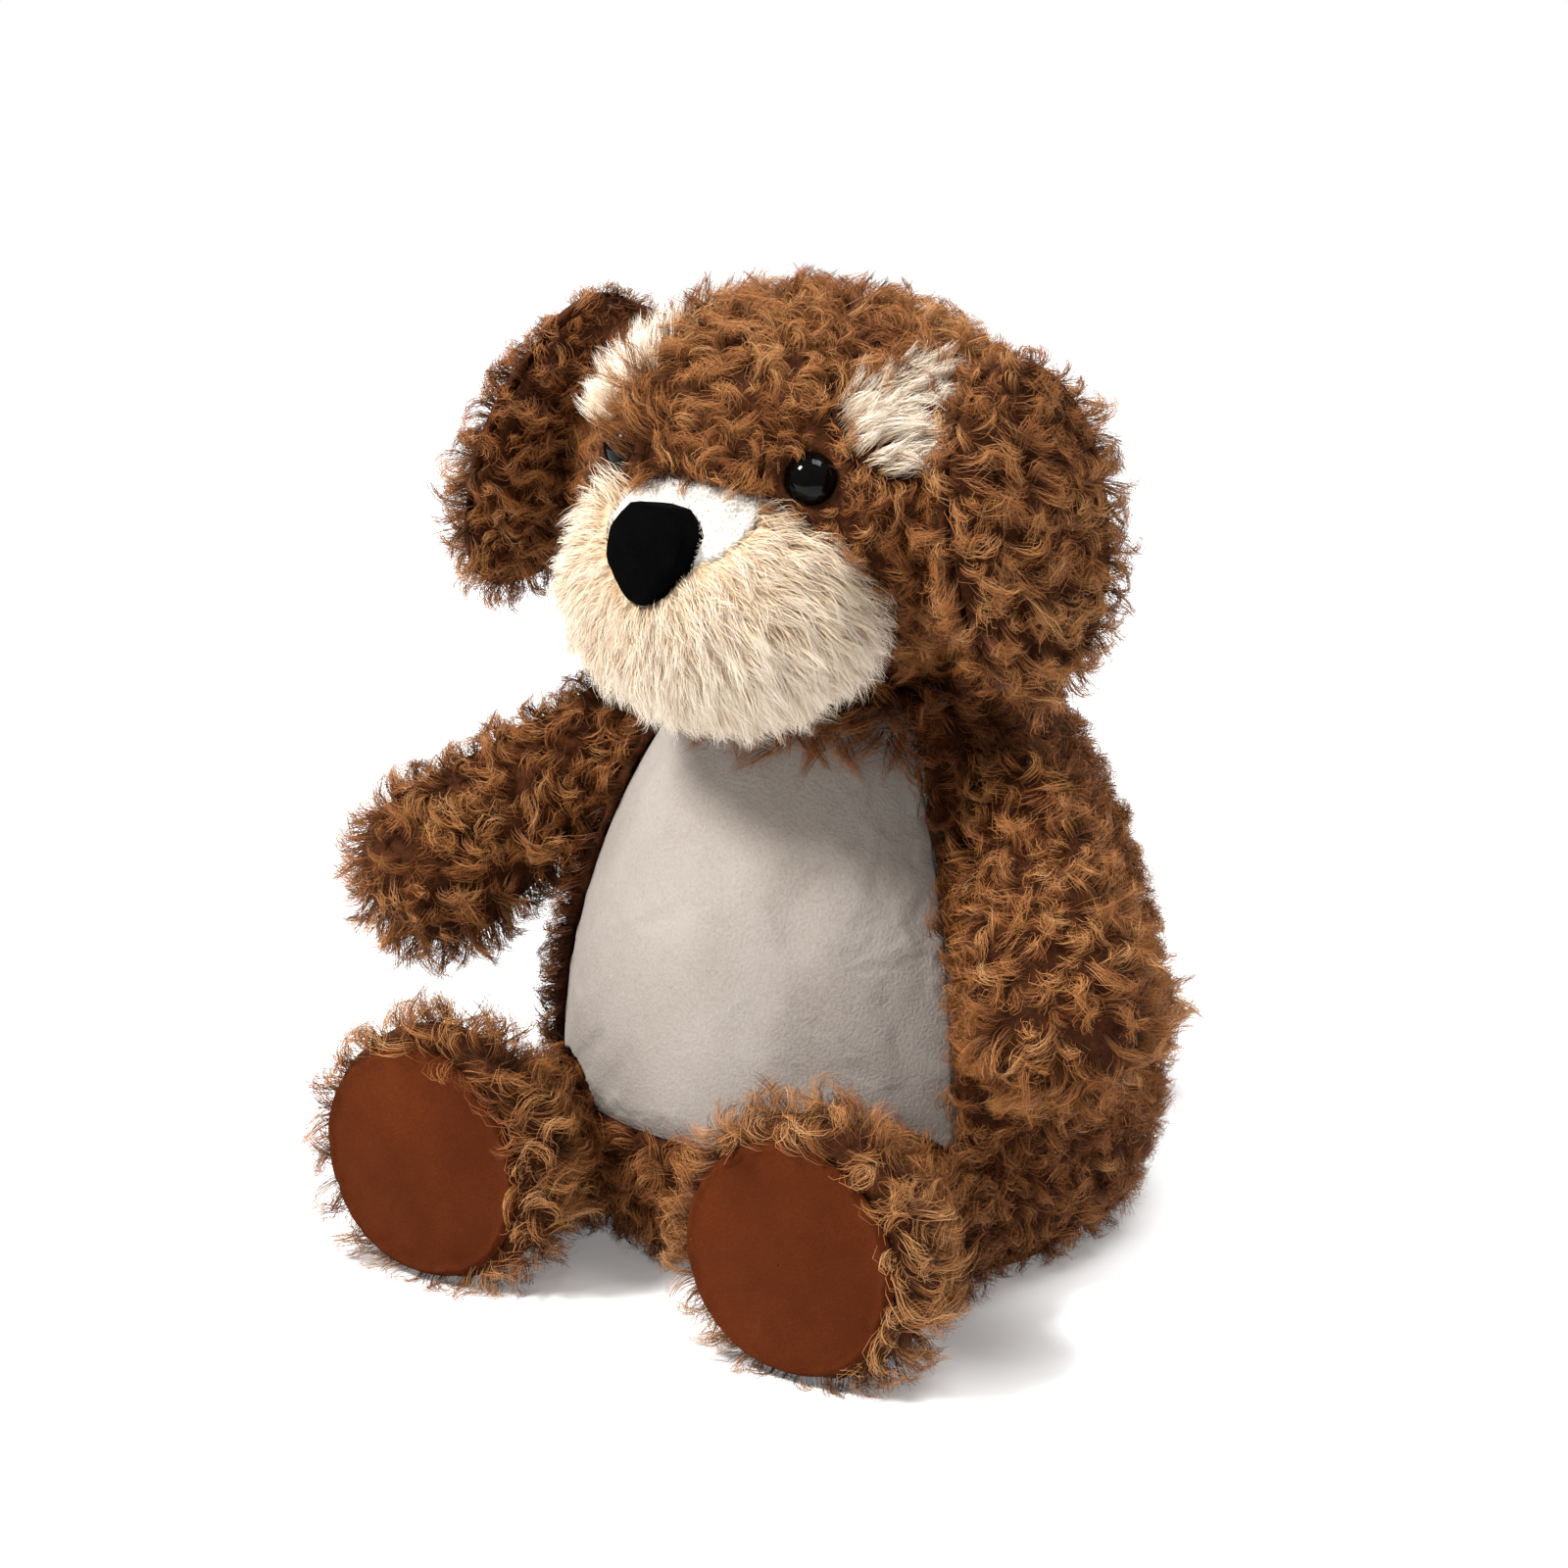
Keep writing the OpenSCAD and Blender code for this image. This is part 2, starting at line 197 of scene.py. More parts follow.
def pod_points(a, b, r0, r1, n, rng):
    """Points and normals on the hull of two spheres, at a and b."""
    length = np.linalg.norm(b - a)
    t = np.linspace(-r0, length + r1, 120)
    lean = (r0 - r1) / length
    flank = (r0 - t * lean) / math.sqrt(1 - lean * lean)
    first = np.sqrt(np.maximum(r0**2 - t**2, 0))
    last = np.sqrt(np.maximum(r1**2 - (t - length) ** 2, 0))
    rho = np.where(t < r0 * lean, first, np.where(t > length + r1 * lean, last, flank))
    p, q = revolved_points(t, rho, n, rng)
    m = aimed(a, b)
    return a + p @ m.T, q @ m.T


def thinned(p, gap):
    """Indices of points that are at least gap apart."""
    cells, kept = {}, []
    for i, (x, y, z) in enumerate((p / gap).tolist()):
        cx, cy, cz = math.floor(x), math.floor(y), math.floor(z)
        near = (
            q
            for dx in (-1, 0, 1)
            for dy in (-1, 0, 1)
            for dz in (-1, 0, 1)
            for q in cells.get((cx + dx, cy + dy, cz + dz), ())
        )
        if all((x - a) ** 2 + (y - b) ** 2 + (z - c) ** 2 >= 1 for a, b, c in near):
            cells.setdefault((cx, cy, cz), []).append((x, y, z))
            kept.append(i)
    return np.array(kept, int)


def rooted(p, n, keep, gap):
    """The points and normals that keep marks, thinned to gap."""
    p, n = p[keep], n[keep]
    pick = thinned(p, gap)
    return p[pick], n[pick]


# ---- materials ----


def linear(rgb):
    """An 8-bit sRGB colour as Blender's linear RGBA."""
    c = np.array(rgb) / 255
    return tuple(np.where(c <= 0.04045, c / 12.92, ((c + 0.055) / 1.055) ** 2.4)) + (1.0,)


def shader(name, rough, specular, sheen=0.0, sheen_tint=(255, 255, 255)):
    material = bpy.data.materials.new(name)
    material.use_nodes = True
    tree = material.node_tree
    out = tree.nodes["Principled BSDF"]
    out.inputs["Roughness"].default_value = rough
    out.inputs["Specular IOR Level"].default_value = specular
    out.inputs["Sheen Weight"].default_value = sheen
    out.inputs["Sheen Roughness"].default_value = 0.4
    out.inputs["Sheen Tint"].default_value = linear(sheen_tint)
    return material, tree, out


def ramp(tree, source, stops):
    """Colours by value: stops are (value, 8-bit colour) pairs."""
    node = tree.nodes.new("ShaderNodeValToRGB")
    items = node.color_ramp.elements
    while len(items) < len(stops):
        items.new(0.5)
    for item, (place, rgb) in zip(items, stops):
        item.position = place
        item.color = linear(rgb)
    tree.links.new(source, node.inputs[0])
    return node.outputs[0]


def multiplied(tree, a, b):
    """Two colours multiplied: a Mix node's colour inputs are 6 and 7 and its colour output is 2."""
    node = tree.nodes.new("ShaderNodeMix")
    node.data_type = "RGBA"
    node.blend_type = "MULTIPLY"
    node.inputs[0].default_value = 1.0
    tree.links.new(a, node.inputs[6])
    tree.links.new(b, node.inputs[7])
    return node.outputs[2]


def noise(tree, size, detail, stretch=(1, 1, 1)):
    """Noise in the piece's own space, with features of about size millimetres."""
    place = tree.nodes.new("ShaderNodeTexCoord")
    scale = tree.nodes.new("ShaderNodeMapping")
    scale.inputs["Scale"].default_value = stretch
    made = tree.nodes.new("ShaderNodeTexNoise")
    made.inputs["Scale"].default_value = 1 / (size * MM)
    made.inputs["Detail"].default_value = detail
    tree.links.new(place.outputs["Object"], scale.inputs["Vector"])
    tree.links.new(scale.outputs["Vector"], made.inputs["Vector"])
    return made.outputs["Fac"]


def bumped(tree, out, height, depth):
    node = tree.nodes.new("ShaderNodeBump")
    node.inputs["Distance"].default_value = depth * MM
    node.inputs["Strength"].default_value = 1.0
    tree.links.new(height, node.inputs["Height"])
    tree.links.new(node.outputs["Normal"], out.inputs["Normal"])


def fibre_material(name, tones, along, rough):
    """Pile: colour by the fibre's tone, darker or lighter along the fibre; the darkening towards the root is partly
    the fibre's own colour and partly painted shade deep in the pile.
    """
    material, tree, out = shader(name, rough, 0.22)
    uv = tree.nodes.new("ShaderNodeUVMap")
    uv.uv_map = UV_NAME
    parts = tree.nodes.new("ShaderNodeSeparateXYZ")
    tree.links.new(uv.outputs["UV"], parts.inputs[0])
    colour = ramp(tree, parts.outputs["X"], tones)
    shade = ramp(tree, parts.outputs["Y"], along)
    tree.links.new(multiplied(tree, colour, shade), out.inputs["Base Color"])
    return material


def cloth_material(name, stops, patch, grain, depth, rough, specular, sheen, stretch=(1, 1, 1)):
    """Fabric, fill or plastic: tones in patches about patch wide, with a fine grain raised by depth."""
    material, tree, out = shader(name, rough, specular, sheen, stops[-1][1])
    coarse = noise(tree, patch, 4)
    fine = noise(tree, grain, 2, stretch)
    mixed = tree.nodes.new("ShaderNodeMix")
    mixed.inputs[0].default_value = 0.45
    tree.links.new(coarse, mixed.inputs[2])
    tree.links.new(fine, mixed.inputs[3])
    tree.links.new(ramp(tree, mixed.outputs[0], stops), out.inputs["Base Color"])
    bumped(tree, out, fine, depth)
    return material


# darker towards the root: partly the fibres' own colour, partly painted shade deep in the pile
ROOT_DARK = [(0.0, (96, 80, 66)), (0.3, (170, 158, 146)), (0.65, (232, 226, 220)), (1.0, (255, 255, 255))]
M_CURLY = fibre_material(
    "curly_pile",
    [
        (0.0, (88, 46, 18)),
        (0.3, (134, 78, 34)),
        (0.5, (160, 102, 52)),
        (0.72, (184, 128, 74)),
        (1.0, (216, 168, 116)),
    ],
    ROOT_DARK,
    rough=0.6,
)
M_CREAM = fibre_material(
    "long_pile",
    [
        (0.0, (184, 144, 102)),
        (0.25, (208, 180, 146)),
        (0.5, (226, 208, 184)),
        (0.75, (236, 224, 206)),
        (1.0, (244, 236, 224)),
    ],
    # darker towards the root: partly the fibres' own colour, partly painted shade deep in the pile
    [(0.0, (205, 180, 150)), (0.35, (235, 222, 205)), (1.0, (255, 255, 255))],
    rough=0.5,
)
M_SHORT = fibre_material(
    "white_nap",
    [(0.0, (228, 221, 212)), (1.0, (248, 244, 238))],
    # darker towards the root: painted shade deep in the nap
    [(0.0, (222, 216, 210)), (1.0, (255, 255, 255))],
    rough=0.7,
)

# name, tones, patch, grain, depth, roughness, specular, sheen and the grain's stretch
# the backing is the pile's real cloth; its dark brown is painted shade in the gaps between the tufts
M_BACK = cloth_material(
    "pile_backing", [(0.3, (40, 19, 8)), (0.5, (62, 31, 13)), (0.75, (88, 47, 21))], 9, 1.6, 0.7, 0.9, 0.1, 0.0
)
M_CREAM_BACK = cloth_material(
    "long_pile_backing", [(0.3, (176, 146, 106)), (0.7, (220, 200, 168))], 9, 1.2, 0.5, 0.9, 0.15, 0.1
)
M_SHORT_BACK = cloth_material(
    "white_nap_backing", [(0.3, (226, 222, 214)), (0.7, (244, 241, 235))], 9, 0.8, 0.2, 0.9, 0.15, 0.1
)
M_BELLY = cloth_material(
    "belly_nap", [(0.3, (138, 128, 119)), (0.5, (152, 143, 135)), (0.72, (162, 154, 147))],
    26, 0.9, 0.25, 0.9, 0.1, 0.0,
)
M_SOLE = cloth_material(
    "sole_suede", [(0.28, (62, 25, 8)), (0.5, (73, 31, 11)), (0.74, (87, 40, 16))], 24, 0.6, 0.25, 0.95, 0.04, 0.08
)
M_NOSE = cloth_material("nose_velour", [(0.3, (1, 1, 1)), (0.7, (5, 5, 5))], 6, 0.45, 0.25, 0.95, 0.02, 0.0)
M_FILL = cloth_material("fibre_fill", [(0.3, (222, 222, 218)), (0.7, (245, 245, 242))], 12, 0.8, 0.5, 0.9, 0.15, 0.2)
M_POUCH = cloth_material(
    "pouch_cloth", [(0.3, (205, 202, 194)), (0.7, (232, 230, 224))], 20, 0.7, 0.2, 0.85, 0.2, 0.1, (1, 4, 1)
)
M_THREAD = cloth_material(
    "thread", [(0.3, (86, 52, 28)), (0.7, (120, 76, 42))], 3, 0.3, 0.08, 0.7, 0.3, 0.1, (4, 1, 1)
)
M_WASHER = cloth_material(
    "washer_plastic", [(0.3, (214, 214, 210)), (0.7, (232, 232, 229))], 5, 0.6, 0.02, 0.4, 0.5, 0.0
)


def eye_material():
    material, tree, out = shader("eye_plastic", 0.04, 0.12)
    black = ramp(tree, noise(tree, 3, 2), [(0.3, (2, 2, 2)), (0.7, (6, 5, 4))])
    tree.links.new(black, out.inputs["Base Color"])
    return material


M_EYE = eye_material()

# ---- meshes ----


def mesh_piece(name, node, points, quads, material, uv=None):
    """A piece that stands for a CAD node and rides on its body."""
    data = bpy.data.meshes.new(name)
    data.vertices.add(len(points))
    data.vertices.foreach_set("co", (points * MM).astype(np.float32).ravel())
    data.loops.add(quads.size)
    data.loops.foreach_set("vertex_index", quads.astype(np.int32).ravel())
    data.polygons.add(len(quads))
    data.polygons.foreach_set("loop_start", np.arange(0, quads.size, 4, dtype=np.int32))
    data.update(calc_edges=True)
    data.polygons.foreach_set("use_smooth", np.ones(len(quads), bool))
    if uv is not None:
        layer = data.uv_layers.new(name=UV_NAME)
        layer.data.foreach_set("uv", uv.astype(np.float32).ravel())
    piece = bpy.data.objects.new(name, data)
    bpy.context.scene.collection.objects.link(piece)
    return finished(piece, node, material)


def wear(piece, material):
    piece.data.materials.clear()
    piece.data.materials.append(material)


def finished(piece, node, material):
    """Dresses a linked piece and hands the node's place on its body over to it."""
    wear(piece, material)
    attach(piece, body_of(frame["nodes"][node])[0])
    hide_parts(node)
    return piece


def soft_copy(node, name, voxel, shrink, lumps, size, material, smooth=4):
    """The node's form as fabric: remeshed, softened, pulled in by shrink and made uneven by lumps."""
    piece = bpy.data.objects.new(name, frame["nodes"][node].data.copy())
    bpy.context.scene.collection.objects.link(piece)
    remesh = piece.modifiers.new("remesh", "REMESH")
    remesh.mode = "VOXEL"
    remesh.voxel_size = voxel * MM
    soften = piece.modifiers.new("soften", "SMOOTH")
    soften.iterations = smooth
    ready = piece.evaluated_get(bpy.context.evaluated_depsgraph_get())
    data = bpy.data.meshes.new_from_object(ready)
    piece.modifiers.clear()
    piece.data = data
    data.name = name
    n = len(data.vertices)
    co, normal = np.empty(n * 3, np.float32), np.empty(n * 3, np.float32)
    data.vertices.foreach_get("co", co)
    data.vertices.foreach_get("normal", normal)
    co, normal = co.reshape(-1, 3) / MM, normal.reshape(-1, 3)
    shift = lumps * ripple(co, size, len(name)) - shrink
    co = co + normal * shift[:, None]
    co[:, 2] = np.maximum(co[:, 2], 0)
    data.vertices.foreach_set("co", (co * MM).astype(np.float32).ravel())
    data.polygons.foreach_set("use_smooth", np.ones(len(data.polygons), bool))
    data.update()
    return finished(piece, node, material)


def grid_quads(rows, cols, wrap=False):
    i, j = np.meshgrid(np.arange(rows - 1), np.arange(cols if wrap else cols - 1), indexing="ij")
    k = (j + 1) % cols
    corners = [i * cols + j, i * cols + k, (i + 1) * cols + k, (i + 1) * cols + j]
    return np.stack(corners, axis=-1).reshape(-1, 4)


def walled(outer, inner, quads):
    """A closed panel between two layers of points that share their quads."""
    n = len(outer)
    ends = np.stack([quads, np.roll(quads, -1, axis=1)], axis=-1).reshape(-1, 2)
    keys = np.sort(ends, axis=1)
    _, first, count = np.unique(keys, axis=0, return_index=True, return_counts=True)
    rim = ends[first[count == 1]]
    wall = np.column_stack([rim[:, 1], rim[:, 0], rim[:, 0] + n, rim[:, 1] + n])
    points = np.vstack([outer, inner])
    faces = np.vstack([quads, quads[:, ::-1] + n, wall])
    used, again = np.unique(faces, return_inverse=True)
    return points[used], again.reshape(-1, 4)


def swollen(points, quads, pinned, slack, cap):
    """A sewn sheet after its filling has pushed it out, by cloth simulation.

    It is pinned at its seams, its cloth is slack by the given share and no point moves by more than cap.
    """
    scene = bpy.context.scene
    data = bpy.data.meshes.new("sheet")
    data.from_pydata((points * MM).tolist(), [], quads.tolist())
    sheet = bpy.data.objects.new("sheet", data)
    scene.collection.objects.link(sheet)
    seam = sheet.vertex_groups.new(name="seam")
    seam.add(np.flatnonzero(pinned).tolist(), 1.0, "REPLACE")
    cloth = sheet.modifiers.new("cloth", "CLOTH")
    cloth.point_cache.frame_start, cloth.point_cache.frame_end = 1, SWELL_FRAMES
    how = cloth.settings
    how.quality = 5
    how.mass = 0.3
    how.use_pressure = True
    how.uniform_pressure_force = SWELL_PRESSURE
    how.effector_weights.gravity = 0
    how.vertex_group_mass = "seam"
    how.shrink_min = -slack
    how.bending_stiffness = 0.05
    for moment in range(1, SWELL_FRAMES + 1):
        scene.frame_set(moment)
    ready = sheet.evaluated_get(bpy.context.evaluated_depsgraph_get()).to_mesh()
    moved = np.empty(len(points) * 3, np.float32)
    ready.vertices.foreach_get("co", moved)
    scene.frame_set(1)
    bpy.data.objects.remove(sheet)
    bpy.data.meshes.remove(data)
    shift = moved.reshape(-1, 3) / MM - points
    size = np.linalg.norm(shift, axis=1, keepdims=True)
    return points + shift * np.minimum(1, cap / np.maximum(size, 1e-6))


# ---- pile ----

# A kind of tuft. Its fibres lie in a bundle round one curved line, and the loose ones stray from it.
# rise and settle: the line's lift off the skin at its root and past settled_by of its length, in degrees
# turn: how far the line winds across the skin, in radians; droop: how far it sags at its tip
# bundle, root and tip: the bundle's radius, and its share of that at both ends
# twist: how far the fibres wind round the line, in radians; wander: how far they sway
# tone_spread and fibre_spread: how tone varies between tufts and between fibres
CURL = {
    "steps": 6,
    "fibres": 26,
    "length": 14.0,
    "turn": 4.0,
    "rise": 76.0,
    "settle": 8.0,
    "settled_by": 0.75,
    "droop": 0.2,
    "bundle": 1.75,
    "root": 0.6,
    "tip": 0.5,
    "twist": 2.4,
    "width": 0.19,
    "wander": 0.4,
    "loose": 0.42,
    "loose_spread": 2.3,
    "loose_wander": 1.7,
    "tone_spread": 0.1,
    "fibre_spread": 0.11,
}
LONG = {
    **CURL,
    "steps": 5,
    "fibres": 20,
    "turn": 0.35,
    "rise": 48.0,
    "settle": 3.0,
    "settled_by": 0.8,
    "droop": 0.45,
    "bundle": 1.6,
    "root": 0.9,
    "tip": 0.4,
    "twist": 0.5,
    "width": 0.24,
    "wander": 0.4,
    "loose": 0.3,
    "loose_spread": 1.9,
    "loose_wander": 0.9,
    "tone_spread": 0.07,
    "fibre_spread": 0.15,
}


def pile(name, node, p, n, comb, kind, tone, material, slot, seed):
    """Grows tufts of fibres from points p with normals n, combed along comb.

    tone, and kind's length, settle, rise and droop, may differ from tuft to tuft.
    """
    rng = np.random.default_rng(seed)
    count, steps, fibres = len(p), kind["steps"], kind["fibres"]
    s = np.linspace(0, 1, steps + 1)
    comb = unit(comb - (comb * n).sum(axis=1, keepdims=True) * n)
    across = np.cross(n, comb)
    length = kind["length"] * rng.uniform(0.78, 1.22, count)
    turn = kind["turn"] * rng.uniform(0.55, 1.3, count) * rng.choice([-1, 1], count)
    settled = smooth_step(s / kind["settled_by"])
    rise = np.radians(kind["rise"]) * rng.uniform(0.75, 1.15, count)
    settle = np.radians(kind["settle"] + rng.normal(0, 9, count))
    lift = rise[:, None] * (1 - settled) + settle[:, None] * settled
    curly = kind["turn"] > 1
    lift += 0.3 * np.sin(TAU * s + rng.uniform(0, TAU, (count, 1))) * curly
    swing = turn[:, None] * s**1.15 + rng.normal(0, 0.25, (count, 1))
    flat = np.cos(swing)[..., None] * comb[:, None] + np.sin(swing)[..., None] * across[:, None]
    way = np.cos(lift)[..., None] * flat + np.sin(lift)[..., None] * n[:, None]
    sag = np.broadcast_to(kind["droop"], count)[:, None] * s
    way = unit(way - sag[..., None] * np.array([0, 0, 1.0]))
    hop = (way[:, 1:] + way[:, :-1]) / 2 * (length / steps)[:, None, None]
    line = np.concatenate([p[:, None], p[:, None] + np.cumsum(hop, axis=1)], axis=1)

    i = np.repeat(np.arange(count), fibres)
    total = len(i)
    reach = s[None] * rng.uniform(0.72, 1.0, (total, 1)) * steps
    k = np.minimum(reach.astype(int), steps - 1)
    f = (reach - k)[..., None]
    row = i[:, None]
    centre = line[row, k] * (1 - f) + line[row, k + 1] * f
    heading = unit(way[row, k] * (1 - f) + way[row, k + 1] * f)
    side = unit(np.cross(heading, n[i][:, None]) + 1e-4)
    up = np.cross(side, heading)
    angle = rng.uniform(0, TAU, (total, 1)) + kind["twist"] * s[None] * np.sign(turn)[i][:, None]
    loose = rng.random(total) < kind["loose"]
    stray = np.where(loose, kind["loose_spread"], 1.0)
    radius = kind["bundle"] * np.sqrt(rng.random(total)) * stray * rng.uniform(0.8, 1.2, count)[i]
    girth = kind["root"] * (1 - s) + kind["tip"] * s + 1.9 * (s * (1 - s))
    outward = np.cos(angle)[..., None] * side + 0.8 * np.sin(angle)[..., None] * up
    centre = centre + outward * (radius[:, None] * girth)[..., None]
    sway = np.sin(TAU * (s[None] * rng.uniform(0.8, 1.8, (total, 1)) + rng.random((total, 1))))
    drift = np.where(loose, kind["loose_wander"], kind["wander"])[:, None]
    lag = np.roll(sway, 1, axis=0)
    centre += (side * (drift * sway * s)[..., None]) + up * (0.5 * drift * lag * s)[..., None]
    face = unit(n[i][:, None] + 0.9 * outward)
    edge = unit(np.cross(heading, face))
    half = kind["width"] / 2 * (1 - 0.85 * s**3)
    points = np.stack([centre - edge * half[None, :, None], centre + edge * half[None, :, None]], axis=2)
    points[..., 2] = np.maximum(points[..., 2], FLOOR_GAP)

    tone = (tone + rng.normal(0, kind["tone_spread"], count))[i] + rng.normal(0, kind["fibre_spread"], total)
    tone = np.clip(tone, 0.01, 0.99)
    strip = np.arange(steps)[:, None] * 2 + np.array([0, 1, 3, 2])
    along = (np.arange(steps)[:, None] + np.array([0, 0, 1, 1])) / steps
    most = MOST_FACES // steps // fibres * fibres
    for part, start in enumerate(range(0, total, most)):
        end = min(start + most, total)
        m = end - start
        quads = (np.arange(m)[:, None, None] * 2 * (steps + 1) + strip).reshape(-1, 4)
        u = np.broadcast_to(tone[start:end, None, None], (m, steps, 4))
        v = np.broadcast_to(along, (m, steps, 4)) * 0.98 + 0.01
        uv = np.stack([u, v], axis=-1)
        label = f"{name}_{part + 1}" if total > most else name
        mesh_piece(label, node, points[start:end].reshape(-1, 3), quads, material, uv)


def down(p):
    return np.tile([0.0, 0.0, -1.0], (len(p), 1))


def ruffled(comb, rng, share):
    """comb with a random direction added, so that curls don't lie in rows."""
    return unit(comb) + share * rng.normal(size=comb.shape)


def tuft(kind, length, **changes):
    """A kind of tuft with this length and these changes."""
    return {**kind, "length": length, **changes}


def patches(p, seed, amount=0.07):
    """Broad and narrow patches of darker and lighter tone."""
    return amount * ripple(p, 34, seed) + amount * 0.7 * ripple(p, 11, seed + 1)


# ---- torso ----


def torso_points(n, rng, grow, low, high):
    z = np.linspace(low, high, 160)
    return revolved_points(z, torso_radius(z, grow), n, rng)


def front_angle(p):
    """Angle round the torso from straight ahead, positive to the dog's left."""
    return np.arctan2(p[:, 0], -p[:, 1])


def in_limb(p, margin):
    """Points that a limb's root covers at rest."""
    q = folded(p)
    shoulder = np.linalg.norm(q - SHOULDER_C, axis=1) < SHOULDER_R - margin
    hip = np.linalg.norm(q - HIP_C, axis=1) < THIGH_R - margin
    tail = np.linalg.norm(p - TAIL_C, axis=1) < TAIL_R[0] - margin
    return shoulder | hip | tail


def painted_arm_shade(p):
    """1 where shade beneath a hanging arm is painted into the pile, 0 away from it."""
    q = folded(p)
    way = unit(PAW_C - SHOULDER_C)
    along = np.clip((q - SHOULDER_C) @ way, 0, np.linalg.norm(PAW_C - SHOULDER_C) + 16)
    gap = np.linalg.norm(q - SHOULDER_C - along[:, None] * way, axis=1)
    return 1 - smooth_step(gap, 28, 62)


def build_torso():
    for side, sign in SIDES:
        node = f"torso_side_{side}"
        rng = np.random.default_rng(10 + sign)
        p, n = torso_points(60000, rng, 2.5, 4, 165)
        angle = front_angle(p) * sign
        p, n = rooted(p, n, (angle > BELLY_HALF - 0.01) & ~in_limb(p, 3), TUFT_GAP)
        angle = front_angle(p)
        at_seam = 1 - smooth_step(angle * sign - BELLY_HALF, 0, 0.16)
        to_belly = np.column_stack([-sign * np.cos(angle), -np.sin(np.abs(angle)), 0 * angle])
        comb = ruffled(down(p) + 0.3 * n + 1.6 * at_seam[:, None] * to_belly, rng, 0.75)
        # the pile's tone is lowered beneath the arms as painted shade
        tone = 0.46 + patches(p, 3) - 0.24 * painted_arm_shade(p)
        soft_copy(node, f"{node}_backing", 2.6, 0.6, 0.5, 12, M_BACK)
        pile(f"{node}_pile", node, p, n, comb, CURL, tone, M_CURLY, "curly_pile", 100 + sign)
    soft_copy("seat_panel", "seat_panel_cloth", 1.5, 0.0, 0.15, 9, M_BACK, 2)
    rng = np.random.default_rng(15)
    p, n = torso_points(16000, rng, 2.5, 4, BELLY_LOW_Z + 0.8)
    p, n = rooted(p, n, (np.abs(front_angle(p)) < BELLY_HALF) & ~in_leg_room(p), TUFT_GAP)
    top = smooth_step(p[:, 2], 26, 38)
    comb = ruffled(-(1 + top)[:, None] * down(p) + 0.3 * n, rng, 0.75)
    kind = tuft(CURL, 14.0 + 3.0 * top)
    tone = 0.38 + patches(p, 4)
    pile("seat_panel_pile", "seat_panel", p, n, comb, kind, tone, M_CURLY, "curly_pile", 105)


THINNEST, THICKEST = 0.4, 3.4  # limits of the belly panel's thickness


def belly_height(u, v):
    """How far the belly's fabric stands off the stuffing: full in the middle, pinched at its seams."""
    side = 1 - np.abs(u) ** 5
    top = smooth_step(v, 0, 0.05) * smooth_step(1 - v, 0, 0.04)
    return 0.6 + 1.9 * side * top


def build_belly():
    rows, cols = 190, 150
    v, u = np.meshgrid(np.linspace(0, 1, rows), np.linspace(-1, 1, cols), indexing="ij")
    z = BELLY_LOW_Z + (NECK_CUT_Z - BELLY_LOW_Z) * v
    angle = u * (BELLY_HALF + 0.01)
    base = np.stack([np.sin(angle), -np.cos(angle), np.zeros_like(z)], axis=-1)
    rest = base * torso_radius(z, 0)[..., None] + np.stack([0 * z, 0 * z, z], axis=-1)
    flat = rest.reshape(-1, 3)
    pull = ripple(flat @ turned(0, 35, 0).T * np.array([0.35, 1, 1]), 17, 21)
    crease = np.maximum(pull.reshape(z.shape) - 0.55, 0) ** 1.3
    pucker = np.sin(z * 0.55 + 2 * ripple(flat, 20, 5).reshape(z.shape)) * np.abs(u) ** 14
    rise = belly_height(u, v) + 0.55 * ripple(flat, 42, 6).reshape(z.shape)
    rise = np.maximum(rise - 0.7 * crease + 0.3 * pucker, 0.45)
    outer = rest + base * rise[..., None]
    inner = rest + base * 0.15
    outer, inner = outer.reshape(-1, 3), inner.reshape(-1, 3)
    quads = grid_quads(rows, cols)
    seam = (np.abs(u) > 0.985) | (v < 0.01) | (v > 0.99)
    swell = swollen(outer, quads, seam.ravel(), 0.0025, 0.8)
    out = base.reshape(-1, 3)
    depth = ((swell - inner) * out).sum(axis=1)
    outer = swell + out * (np.clip(depth, THINNEST, THICKEST) - depth)[:, None]
    middle = outer[quads].mean(axis=1)
    open_here = in_leg_room(middle) | (np.linalg.norm(middle - NECK_C, axis=1) < NECK_R + 1)
    points, faces = walled(outer, inner, quads[~open_here])
    piece = mesh_piece("belly_panel_cloth", "belly_panel", points, faces, M_BELLY)


def in_leg_room(p):
    """Where a leg's root swings."""
    q = folded(p) - HIP_C
    room = np.linalg.norm(q, axis=1) < THIGH_R + 1.2
    for angle in (-10, -2.5, 5, 12.5):
        way = turned(-angle) @ unit(FOOT_C - HIP_C)
        along = q @ way
        away = np.linalg.norm(q - along[:, None] * way, axis=1)
        room |= (along > 0) & (along < 60) & (away < THIGH_R + 0.9)
    return room


def build_yoke(edge):
    """Lining cloth over the torso's stuffing, which closes its top round the neck."""
    rings, spokes = 14, 120
    around = np.linspace(0, TAU, spokes, endpoint=False)
    share, angle = np.meshgrid(np.linspace(0, 1, rings), around, indexing="ij")
    way = np.stack([np.sin(angle), -np.cos(angle)], axis=-1)
    near = NECK_C[:2] + way * (NECK_R + 3.5)
    flat = near * (1 - share)[..., None] + way * (edge - 0.4) * share[..., None]
    z = COLLAR_Z + 0.3 - 2.3 * share**2 + 0.25 * np.sin(angle * 23) * share
    outer = np.concatenate([flat, z[..., None]], axis=-1).reshape(-1, 3)
    inner = outer - np.array([0, 0, 0.7])
    points, faces = walled(outer, inner, grid_quads(rings, spokes, wrap=True))
    # the lining wears the dark backing cloth, painted shade in the gap round the neck
    mesh_piece("torso_stuffing_lining", "torso_stuffing", points, faces, M_BACK)


